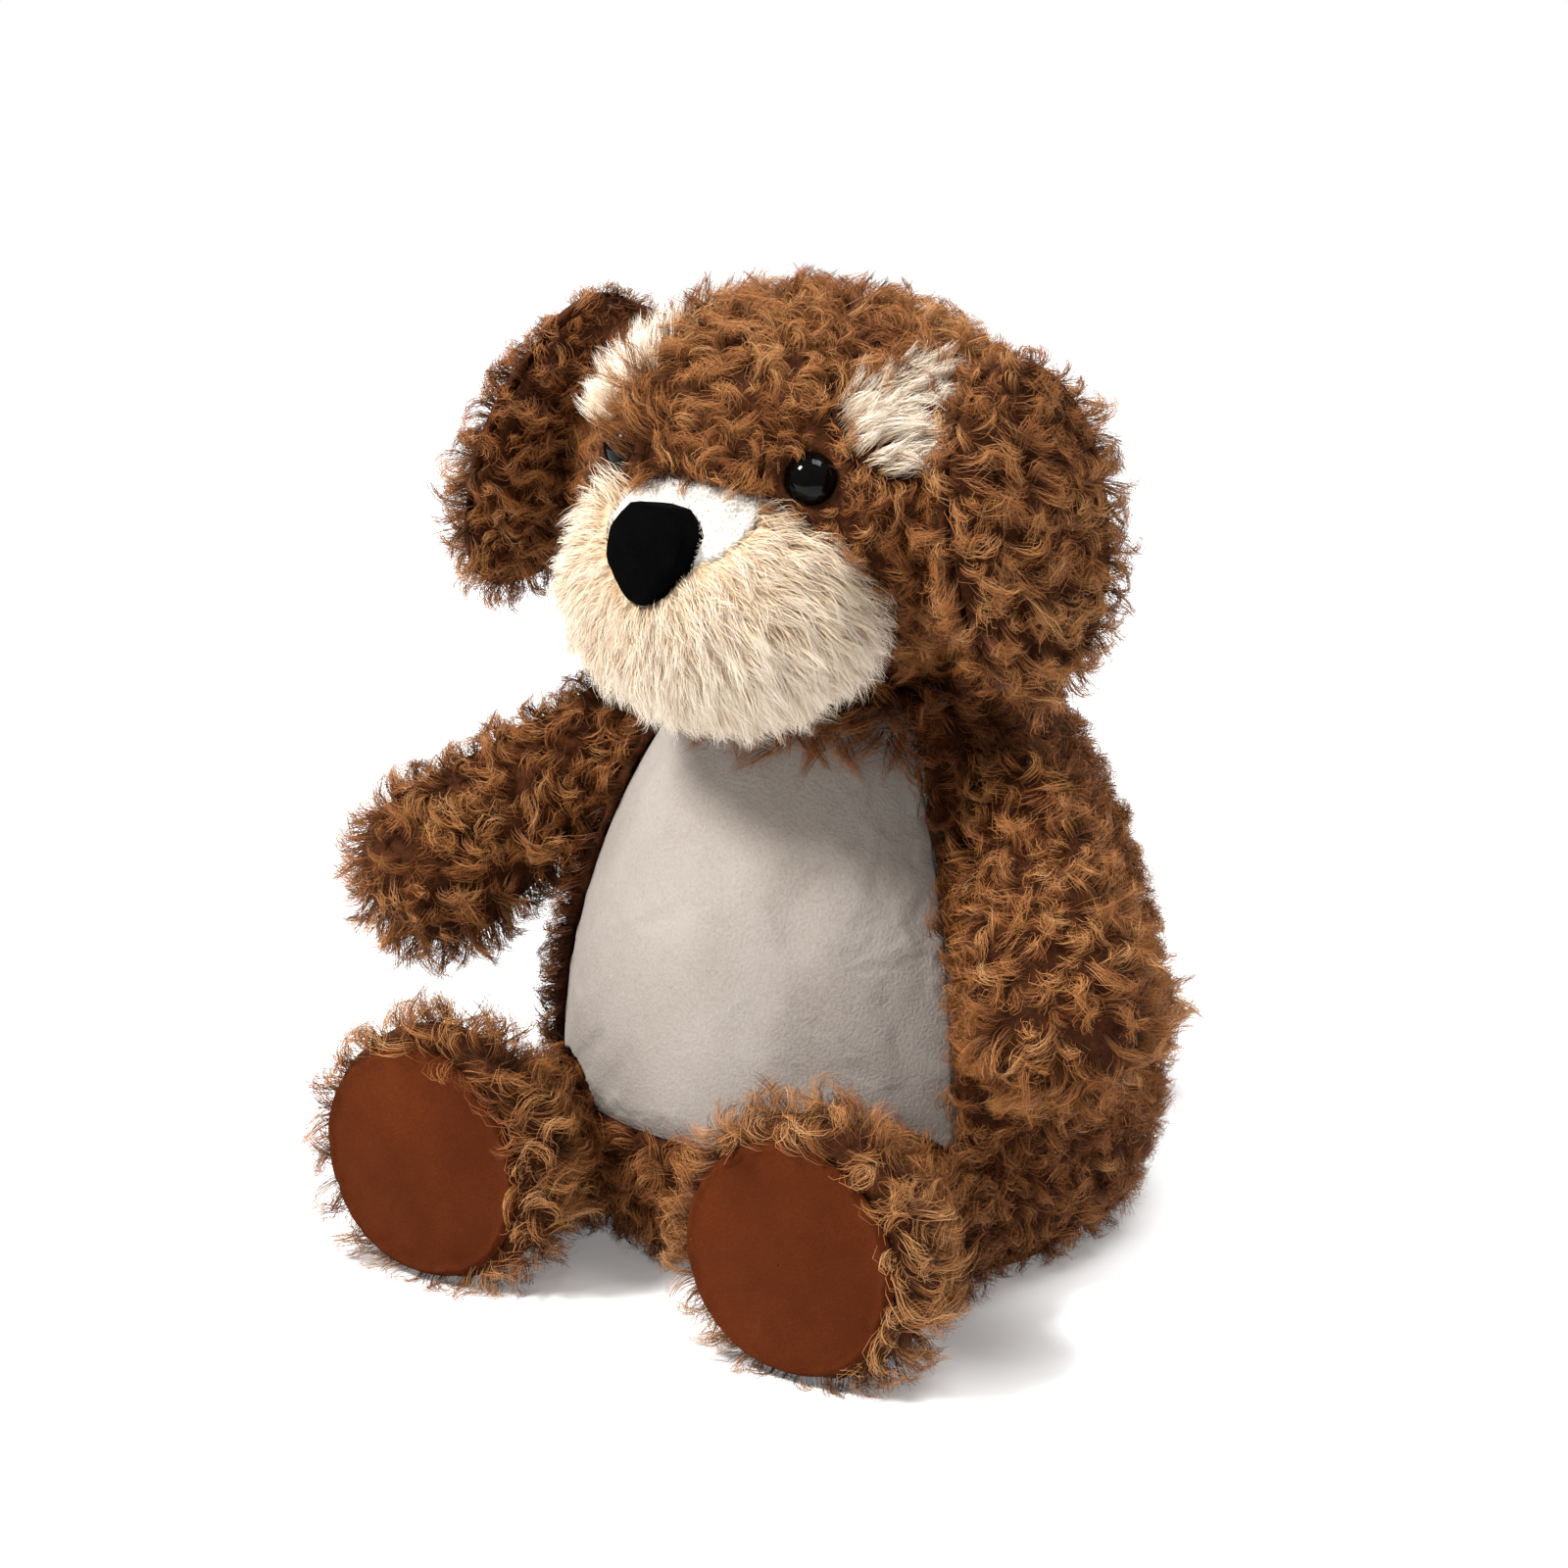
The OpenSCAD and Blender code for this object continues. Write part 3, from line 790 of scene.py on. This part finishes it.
def build_neck():
    rng = np.random.default_rng(31)
    soft_copy("neck_collar", "neck_collar_backing", 1.2, 0.3, 0.2, 8, M_BACK, 2)
    edge = torso_radius(np.array([NECK_CUT_Z]), 0)[0]
    build_yoke(edge)
    count = 3600
    angle = rng.uniform(-math.pi, math.pi, count)
    ring = COLLAR_R + rng.uniform(-1.0, 27.0, count)
    out = np.column_stack([np.sin(angle), -np.cos(angle), 0 * angle])
    p = out * ring[:, None] + np.array([NECK_C[0], NECK_C[1], COLLAR_Z + 0.6])
    p = p[np.hypot(p[:, 0], p[:, 1]) < edge - 1]
    angle = rng.uniform(-BELLY_HALF, BELLY_HALF, 900)
    z = rng.uniform(NECK_CUT_Z - 7, NECK_CUT_Z + 2, 900)
    rim = np.column_stack([np.sin(angle) * (edge + 1.5), -np.cos(angle) * (edge + 1.5), z])
    p = np.vstack([p, rim])
    p = p[thinned(p, 3.1)]
    out = unit((p - NECK_C) * np.array([1, 1, 0]))
    from_neck = np.hypot(p[:, 0] - NECK_C[0], p[:, 1] - NECK_C[1])
    from_axis = np.hypot(p[:, 0], p[:, 1])
    front = smooth_step(-p[:, 1] / from_axis, 0.3, 0.7) * smooth_step(from_axis, edge - 8, edge)
    close = (1 - smooth_step(from_neck, COLLAR_R, COLLAR_R + 7)) * (1 - front)
    n = unit(out + np.array([0, 0, 0.8]))
    comb = ruffled(out + 0.15 * down(p) - 0.9 * close[:, None] * down(p), rng, 0.45)
    kind = tuft(CURL, 15.0 + 7.0 * front, turn=2.2)
    kind.update(droop=0.15 + 0.85 * front, rise=40.0 + 30.0 * close, settle=8 + 50.0 * close)
    tone = 0.4 + patches(p, 7)
    ring = from_neck < COLLAR_R + 6
    owners = {
        "neck_collar": ring,
        "torso_side_left": ~ring & (p[:, 0] >= 0),
        "torso_side_right": ~ring & (p[:, 0] < 0),
    }
    for i, (node, mine) in enumerate(owners.items()):
        part = {key: value[mine] if isinstance(value, np.ndarray) else value for key, value in kind.items()}
        at = p[mine], n[mine], comb[mine]
        pile(f"{node}_fringe", node, *at, part, tone[mine], M_CURLY, "curly_pile", 131 + i)


# ---- head ----


def in_brow(p, grow=0.0):
    """Points in front of the head's middle that lie in a brow's leaning oval, below its hidden end."""
    q = np.column_stack([np.abs(p[:, 0]), p[:, 2]]) - BROW_C
    a = math.radians(-BROW_LEAN)
    x = q[:, 0] * math.cos(a) + q[:, 1] * math.sin(a)
    y = -q[:, 0] * math.sin(a) + q[:, 1] * math.cos(a)
    oval = (x / (BROW_R[0] + grow)) ** 2 + (y / (BROW_R[1] + grow)) ** 2 < 1
    return oval & (x > -BROW_FREE - grow) & (p[:, 1] < HEAD_C[1])


def eye_gap(p):
    """Distance from the nearer eye's middle."""
    return np.linalg.norm(folded(p) - EYE_C, axis=1)


def head_points(count, rng, grow):
    p, n = egg_points(HEAD_C, HEAD_R + grow, count, rng)
    keep = ~inside_egg(p, MUZZLE_C, MUZZLE_R + 4.2)
    keep &= np.linalg.norm(p - NECK_C, axis=1) > NECK_R + 0.2
    return p[keep], n[keep]


def build_head():
    rng = np.random.default_rng(41)
    p, n = head_points(60000, rng, 2.5)
    p, n = rooted(p, n, ~in_brow(p, -0.5) & (eye_gap(p) > EYE_R + 2.2), 3.3)
    gap, across, height = eye_gap(p), np.abs(p[:, 0]), p[:, 2]
    clear = smooth_step(gap, 9, 22)  # away from the eyes
    crown = smooth_step(height, 240, 268)
    medial = (across < EYE_C[0] - 4) * (1 - smooth_step(gap, 18, 30)) * smooth_step(height, 234, 240)
    medial = medial * smooth_step(gap, 8, 13)  # between the eyes, longer on the right
    right = p[:, 0] < 0
    snout_top = (1 - smooth_step(across, 20, 30)) * (1 - smooth_step(height, 232, 240)) * (p[:, 1] < -60)
    length = 8.5 + 5.5 * clear + 3.0 * crown + (5.0 + 8.0 * right) * medial - 4.5 * snout_top
    away = p - np.array([0, -95, 232.0])
    from_eye = unit(p - EYE_C * np.column_stack([np.sign(p[:, 0]), np.ones(len(p)), np.ones(len(p))]))
    lean = 2.5 * (1 - clear) * ~(right & (medial > 0.2)) - 4.0 * medial * right
    comb = unit(away) + 0.4 * down(p) + lean[:, None] * from_eye
    comb = ruffled(comb, rng, 0.15 + 0.55 * clear[:, None])
    tone = 0.47 + patches(p, 9) + 0.05 * crown
    nape = 1 - smooth_step(height, 180, 194)
    # 1 at an ear's root and at the same place on the back of the head
    ear_root = 1 - smooth_step(np.linalg.norm(np.abs(p) - np.array([50, 20, 262.0]), axis=1), 6, 30)
    length += 4.0 * nape + 6.0 * ear_root
    comb += 2.2 * nape[:, None] * down(p)
    kind = tuft(CURL, length, bundle=1.7, width=0.17, turn=3.2)
    settle = 10.0 + 38.0 * medial + 8.0 * crown + 16.0 * ear_root
    zones = {
        "head_side_left": p[:, 0] >= GUSSET_HALF,
        "head_side_right": p[:, 0] <= -GUSSET_HALF,
        "head_gusset": np.abs(p[:, 0]) < GUSSET_HALF,
    }
    for i, (node, zone) in enumerate(zones.items()):
        soft_copy(node, f"{node}_backing", 2.0, 0.2, 0.3, 11, M_BACK)
        part = tuft(kind, length[zone], settle=settle[zone])
        at = p[zone], n[zone], comb[zone]
        pile(f"{node}_pile", node, *at, part, tone[zone], M_CURLY, "curly_pile", 141 + i)


def build_brows():
    for side, sign in SIDES:
        node = f"brow_{side}"
        rng = np.random.default_rng(51 + sign)
        p, n = head_points(90000, rng, 2.8)
        p, n = rooted(p, n, in_brow(p) & (p[:, 0] * sign > 0) & (eye_gap(p) > EYE_R + 2), 1.7)
        spread = (p - np.array([sign * BROW_C[0], 0, BROW_C[1]])) * np.array([1, 0, 1]) / BROW_R[0]
        comb = np.array([sign * 0.7, 0.1, 0.7]) + 0.45 * spread + 0.1 * rng.normal(size=p.shape)
        soft_copy(node, f"{node}_backing", 1.2, 0.6, 0.2, 8, M_BACK, 2)
        length = 12.5 if sign > 0 else 16.5
        kind = tuft(LONG, length, rise=60.0, settle=24.0, droop=0.0, fibres=26)
        kind.update(bundle=1.3, width=0.16, tip=0.7, loose=0.4, wander=0.2, loose_wander=0.6)
        tone = 0.86 + patches(p, 13)
        pile(f"{node}_pile", node, p, n, comb, kind, tone, M_CREAM, "long_pile", 151 + sign)


def in_bridge(p):
    q = (p[:, :2] - BRIDGE_C) / (BRIDGE_R + 0.2)
    return ((q**2).sum(axis=1) < 1) & (p[:, 2] > MUZZLE_C[2])


def nose_gap(p):
    """Distance from the nose's middle, as the nose's own flattened form measures it."""
    return np.linalg.norm((p - NOSE_C) * np.array([1, 0.6, 0.95]), axis=1)


def build_muzzle():
    for side, sign in SIDES:
        node = f"muzzle_{side}"
        rng = np.random.default_rng(61 + sign)
        p, n = egg_points(MUZZLE_C, MUZZLE_R + 3, 90000, rng)
        keep = p[:, 0] * sign > 0
        keep &= ~inside_egg(p, HEAD_C, HEAD_R + 1) & ~in_bridge(p)
        keep &= (nose_gap(p) > 11.5) & (eye_gap(p) > EYE_R + 1.2)
        keep &= np.linalg.norm(p - NECK_C, axis=1) > NECK_R + 2
        p, n = rooted(p, n, keep, 2.4)
        away = p - NOSE_C
        far = np.linalg.norm(away, axis=1)
        comb = unit(away) + 0.35 * down(p) + 0.13 * rng.normal(size=p.shape)
        low = smooth_step(NOSE_C[2] - p[:, 2], -10, 40)
        length = 8.5 + 7.0 * smooth_step(far, 14, 48) + 2.0 * low
        top = smooth_step(p[:, 2], 212, 234)
        wisp = smooth_step(p[:, 2], 221, 229) * (0.15 if sign > 0 else 1.0)
        kind = tuft(LONG, length + 4.0 * wisp, settle=6.0 + 26.0 * wisp, fibres=24)
        kind.update(bundle=1.7, width=0.17, tip=0.6, loose=0.4)
        tone = 0.82 + patches(p, 15) - 0.12 * top
        soft_copy(node, f"{node}_backing", 1.8, 1.2, 0.3, 9, M_CREAM_BACK, 3)
        pile(f"{node}_pile", node, p, n, comb, kind, tone, M_CREAM, "long_pile", 161 + sign)


def build_nose():
    soft_copy("nose_cover", "nose_cover_velour", 0.7, 0.0, 0.12, 5, M_NOSE, 10)
    soft_copy("snout_bridge", "snout_bridge_backing", 0.9, 0.3, 0.1, 6, M_SHORT_BACK, 3)
    rng = np.random.default_rng(71)
    p, n = egg_points(MUZZLE_C, MUZZLE_R + BRIDGE_T - 0.8, 120000, rng)
    keep = in_bridge(p) & ~inside_egg(p, HEAD_C, HEAD_R + 0.5) & (nose_gap(p) > 12.2)
    p, n = rooted(p, n, keep, 1.0)
    comb = p - NOSE_C + 0.5 * rng.normal(size=p.shape)
    tone = 0.6 + patches(p, 17, 0.04)
    kind = tuft(LONG, 2.2, steps=2, fibres=6, bundle=0.8, width=0.2)
    kind.update(droop=0.0, rise=80.0, settle=50.0, wander=0.1, loose=0.0)
    pile("snout_bridge_pile", "snout_bridge", p, n, comb, kind, tone, M_SHORT, "white_plush", 171)


def build_eyes():
    """A domed eye with a thin rim, on its shank."""
    angle = np.linspace(0, TAU, 72, endpoint=False)
    dome = [(0.01, 9.35), (1.2, 9.28), (2.5, 9.0), (3.8, 8.5), (5.0, 7.75), (6.0, 6.7), (6.8, 5.4), (7.3, 4.0)]
    rim = [(7.48, 2.9), (7.5, 2.3), (7.35, 2.0), (6.6, 1.95)]
    shank = [(2.6, 1.95), (2.5, 1.8), (2.5, -9.6), (2.2, -10.0), (0.01, -10.0)]
    profile = dome + rim + shank  # radius and height
    for side, sign in SIDES:
        node = f"eye_{side}"
        rings = [np.column_stack([r * np.cos(angle), r * np.sin(angle), z + 0 * angle]) for r, z in profile]
        local = np.vstack(rings) - np.array([0, 0, EYE_R - 1])
        m = turned(z=EYE_YAW) @ turned(90 - EYE_PITCH)
        (points,) = mirrored(sign, EYE_C + local @ m.T)
        quads = grid_quads(len(profile), len(angle), wrap=True)
        quads = quads[:, ::-1] if sign > 0 else quads
        mesh_piece(f"{node}_dome", node, points, quads, M_EYE)


# ---- ears ----


def build_ears():
    tilt = turned(-EAR_PITCH, -EAR_FLARE, 0)
    for side, sign in SIDES:
        for half, radii in (("outer", EAR_OUT), ("lining", EAR_IN)):
            node = f"ear_{half}_{side}"
            face = 1 if half == "outer" else -1
            rng = np.random.default_rng(81 + sign * 2 + face)
            p, n = egg_points(np.zeros(3), radii - SINK, 60000, rng)
            p, n = rooted(p, n, p[:, 0] * face > 0, TUFT_GAP)
            p, n = EAR_C + p @ tilt.T, n @ tilt.T
            root = np.linalg.norm(p - EAR_ROOT, axis=1)
            p, n = p[root > 6], n[root > 6]
            p, n = mirrored(sign, p, n)
            middle = EAR_C * np.array([sign, 1, 1])
            comb = ruffled(down(p) + 0.6 * unit((p - middle) * np.array([0, 1, 0.4])), rng, 0.7)
            tone = (0.57 if face > 0 else 0.49) + patches(p, 19)
            high = smooth_step(p[:, 2], 248, 266)
            length = (16.5 if face > 0 else 13.5) - (4.0 if sign > 0 else 7.0) * high
            soft_copy(node, f"{node}_backing", 2.0, 0.6, 0.4, 11, M_BACK)
            kind = tuft(CURL, length)
            pile(f"{node}_pile", node, p, n, comb, kind, tone, M_CURLY, "curly_pile", 181 + sign * 2 + face)


# ---- limbs and tail ----


def clear_of_torso(p):
    return np.hypot(p[:, 0], p[:, 1]) > torso_radius(p[:, 2], 3)


def build_arms():
    for side, sign in SIDES:
        node = f"arm_{side}"
        rng = np.random.default_rng(91 + sign)
        p, n = pod_points(SHOULDER_C, PAW_C, SHOULDER_R - SINK, PAW_R - SINK, 40000, rng)
        p, n = mirrored(sign, *rooted(p, n, clear_of_torso(p), TUFT_GAP))
        away = unit(PAW_C - SHOULDER_C) * np.array([sign, 1, 1])
        comb = ruffled(down(p) + 0.6 * away, rng, 0.75)
        soft_copy(node, f"{node}_backing", 2.2, 0.6, 0.4, 11, M_BACK)
        low = smooth_step(SHOULDER_C[2] - p[:, 2], 0, 50)
        kind = tuft(CURL, 15.0 + 3.0 * low, settle=14.0 + 10.0 * low)
        # the arms' tone, 0.08 above the torso's, is painted light that sets them off against the torso behind
        pile(f"{node}_pile", node, p, n, comb, kind, 0.54 + patches(p, 23), M_CURLY, "curly_pile", 191 + sign)


def build_legs():
    for side, sign in SIDES:
        node = f"leg_{side}"
        rng = np.random.default_rng(201 + sign)
        inner = FOOT_R - SINK
        thigh, thigh_n = pod_points(HIP_C, FOOT_C, THIGH_R - SINK, THIGH_R - SINK, 40000, rng)
        keep = ~inside_egg(thigh, FOOT_C, inner)
        foot, foot_n = egg_points(FOOT_C, inner, 60000, rng)
        q = foot - HIP_C
        axis = unit(FOOT_C - HIP_C)
        away = np.linalg.norm(q - (q @ axis)[:, None] * axis, axis=1)
        open_foot = (away > THIGH_R - 3) | (foot[:, 1] < FOOT_C[1])
        open_foot &= foot[:, 1] > SOLE_Y + 0.8
        p = np.vstack([thigh[keep], foot[open_foot]])
        n = np.vstack([thigh_n[keep], foot_n[open_foot]])
        shuffled = rng.permutation(len(p))
        p, n = p[shuffled], n[shuffled]
        p, n = rooted(p, n, clear_of_torso(p) & (p[:, 2] > 2.5), TUFT_GAP)
        rim = 1 - smooth_step(p[:, 1], SOLE_Y + 1, SOLE_Y + 16)
        on_foot = 1 - smooth_step(p[:, 1], -100, -78)
        to_sole = unit((FOOT_C - p) * np.array([1, 0, 1]))
        inward = rng.uniform(-1.0, 0.9, (len(p), 1)) * to_sole
        comb = down(p) * (0.6 - 0.5 * rim)[:, None] + rim[:, None] * (np.array([0, -0.45, 0]) + inward)
        comb = ruffled(comb + 0.01, rng, 0.75)
        length = 14.5 + 4.5 * on_foot
        p, n, comb = mirrored(sign, p, n, comb)
        # the thigh's darker tone is painted shade beside the torso and under the arm; the foot's lighter tone is
        # partly painted highlight and partly the curls' own colour
        tone = 0.31 + 0.36 * on_foot + patches(p, 27)
        soft_copy(node, f"{node}_backing", 2.4, 0.8, 0.5, 12, M_BACK)
        kind = tuft(CURL, length, bundle=2.0, droop=0.1, turn=4.6, settle=14.0, fibres=20)
        pile(f"{node}_pile", node, p, n, comb, kind, tone, M_CURLY, "curly_pile", 211 + sign)
        build_sole(side, sign)


def build_sole(side, sign):
    """A round suede sole: domed, with small puckers where it is gathered into its seam."""
    rings, spokes = 40, 180
    around = np.linspace(0, TAU, spokes, endpoint=False)
    r, a = np.meshgrid(np.linspace(0.004, 1, rings), around, indexing="ij")
    seam = smooth_step(r, 0.84, 1)
    gather = np.sin(a * 31 + 1.3 * np.sin(3 * a)) * 0.5 + np.sin(a * 17 + 2) * 0.5
    edge = SOLE_R * (1 + 0.008 * np.sin(2 * a + sign) + 0.006 * np.sin(5 * a))
    x, z = r * edge * np.cos(a), r * edge * np.sin(a)
    flat = np.stack([x, 0 * x, z], axis=-1)
    rise = SOLE_RISE * (1 - r**2.6) + 0.35 * ripple(flat, 26, 5 + sign) * (1 - seam)
    rise += 0.45 * gather * np.exp(-(((r - 0.93) / 0.05) ** 2)) - 1.2 * smooth_step(r, 0.93, 1)
    outer = np.stack([x, -SOLE_T - rise, z], axis=-1).reshape(-1, 3)
    inner = np.stack([x, 0 * x - 0.3, z], axis=-1).reshape(-1, 3)
    quads = grid_quads(rings, spokes, wrap=True)
    swell = swollen(outer, quads, (r > 0.95).ravel(), 0.02, 1.0)
    depth = np.clip(swell[:, 1], -SOLE_T - SOLE_RISE - 0.6, -0.8)
    outer = np.column_stack([swell[:, 0], depth, swell[:, 2]])
    points, faces = walled(outer, inner, quads)
    (points,) = mirrored(sign, points + np.array([FOOT_C[0], SOLE_Y, FOOT_C[2]]))
    faces = faces if sign < 0 else faces[:, ::-1]
    piece = mesh_piece(f"sole_{side}_suede", f"sole_{side}", points, faces, M_SOLE)


def build_tail():
    rng = np.random.default_rng(221)
    p, n = pod_points(TAIL_C, TAIL_TIP, TAIL_R[0] - SINK, TAIL_R[1] - SINK, 9000, rng)
    p, n = rooted(p, n, clear_of_torso(p), 3.0)
    away = unit(TAIL_TIP - TAIL_C)
    comb = ruffled(away + 0.3 * down(p), rng, 0.5)
    tip = smooth_step((p - TAIL_C) @ away, 12, 34)
    soft_copy("tail", "tail_backing", 1.6, 1.2, 0.3, 8, M_BACK)
    kind = tuft(CURL, 14.0 + 6.0 * tip, turn=2.0, settle=16.0)
    pile("tail_pile", "tail", p, n, comb, kind, 0.5 + 0.34 * tip, M_CURLY, "curly_pile", 221)


# ---- inside pieces ----


def build_inside():
    fills = ["torso_stuffing", "neck_stuffing", "nose_stuffing", "head_stuffing", "tail_stuffing"]
    fills += [f"{part}_stuffing_{side}" for part in ("arm", "leg") for side, _ in SIDES]
    for node in fills:
        material = M_BACK if node == "neck_stuffing" else M_FILL  # the neck's fill wears the dark backing cloth: painted shade where it shows between head and torso
        low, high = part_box(node)
        size = max(high[k] - low[k] for k in range(3)) / MM
        voxel = min(max(size / 45, 0.8), 4)
        fill = soft_copy(node, f"{node}_lofted", voxel, 0.5, 0.35, 9, material, 2)
    pouch = soft_copy("pellet_pouch", "pellet_pouch_cloth", 2.0, 0.5, 0.5, 8, M_POUCH, 2)
    for side, _ in SIDES:
        wear(frame["nodes"][f"eye_washer_{side}"], M_WASHER)
    wear(frame["nodes"]["closing_stitches"], M_THREAD)


# ---- floor, light and camera ----


def build_stage():
    """A sheet of white paper, 2.5 m wide, that glows a little so that its far part stays white."""
    corners = ((-1, -1), (1, -1), (1, 1), (-1, 1))
    data = bpy.data.meshes.new("floor")
    data.from_pydata([(1.25 * x, 1.25 * y, 0.0) for x, y in corners], [], [(0, 1, 2, 3)])
    floor = bpy.data.objects.new("floor", data)
    bpy.context.scene.collection.objects.link(floor)
    material, tree, out = shader("paper", 0.9, 0.1)
    white = ramp(tree, noise(tree, 400, 2), [(0.3, (240, 240, 240)), (0.7, (246, 246, 246))])
    tree.links.new(white, out.inputs["Base Color"])
    out.inputs["Emission Color"].default_value = (1, 1, 1, 1)
    out.inputs["Emission Strength"].default_value = 0.18
    data.materials.append(material)


def area_light(name, place, size, power):
    """A lamp size wide, in metres, that faces the dog's chest."""
    target = (0, -0.02, 0.13)
    data = bpy.data.lights.new(name, "AREA")
    data.shape = "RECTANGLE"
    data.size = data.size_y = size
    data.energy = power
    lamp = bpy.data.objects.new(name, data)
    lamp.location = place
    lamp.rotation_euler = (Vector(target) - Vector(place)).to_track_quat("-Z", "Y").to_euler()
    bpy.context.scene.collection.objects.link(lamp)


def build_light():
    """A white world that the camera sees at full strength and that lights the dog at 0.4, and two lamps."""
    world = bpy.data.worlds.new("studio")
    world.use_nodes = True
    nodes, links = world.node_tree.nodes, world.node_tree.links
    bright = nodes["Background"]
    path, dim, mix = (nodes.new(f"ShaderNode{kind}") for kind in ("LightPath", "Background", "MixShader"))
    for node, strength in ((bright, 1.0), (dim, 0.4)):
        node.inputs["Color"].default_value = (1, 1, 1, 1)
        node.inputs["Strength"].default_value = strength
    links.new(path.outputs["Is Camera Ray"], mix.inputs[0])
    links.new(dim.outputs[0], mix.inputs[1])
    links.new(bright.outputs[0], mix.inputs[2])
    links.new(mix.outputs[0], nodes["World Output"].inputs[0])
    bpy.context.scene.world = world
    bpy.context.scene.view_settings.view_transform = "Standard"
    area_light("key", (-0.8, -1.3, 1.9), 0.5, 88)
    area_light("top", (0.5, 0.3, 2.1), 1.0, 38)


def build_camera():
    azimuth, elevation, distance = math.radians(35), math.radians(18), 1.8
    target = Vector((-0.017, -0.012, 0.128))
    seen = 0.456  # width of the view at the target
    data = bpy.data.cameras.new("camera")
    data.sensor_width = 36
    data.lens = data.sensor_width * distance / seen
    camera = bpy.data.objects.new("camera", data)
    away = Vector(
        (
            math.sin(azimuth) * math.cos(elevation),
            -math.cos(azimuth) * math.cos(elevation),
            math.sin(elevation),
        )
    )
    camera.location = target + distance * away
    camera.rotation_euler = (-away).to_track_quat("-Z", "Y").to_euler()
    bpy.context.scene.collection.objects.link(camera)
    bpy.context.scene.camera = camera


build_torso()
build_belly()
build_neck()
build_head()
build_brows()
build_muzzle()
build_nose()
build_eyes()
build_ears()
build_arms()
build_legs()
build_tail()
build_inside()
build_stage()
build_light()
build_camera()

bpy.context.view_layer.update()
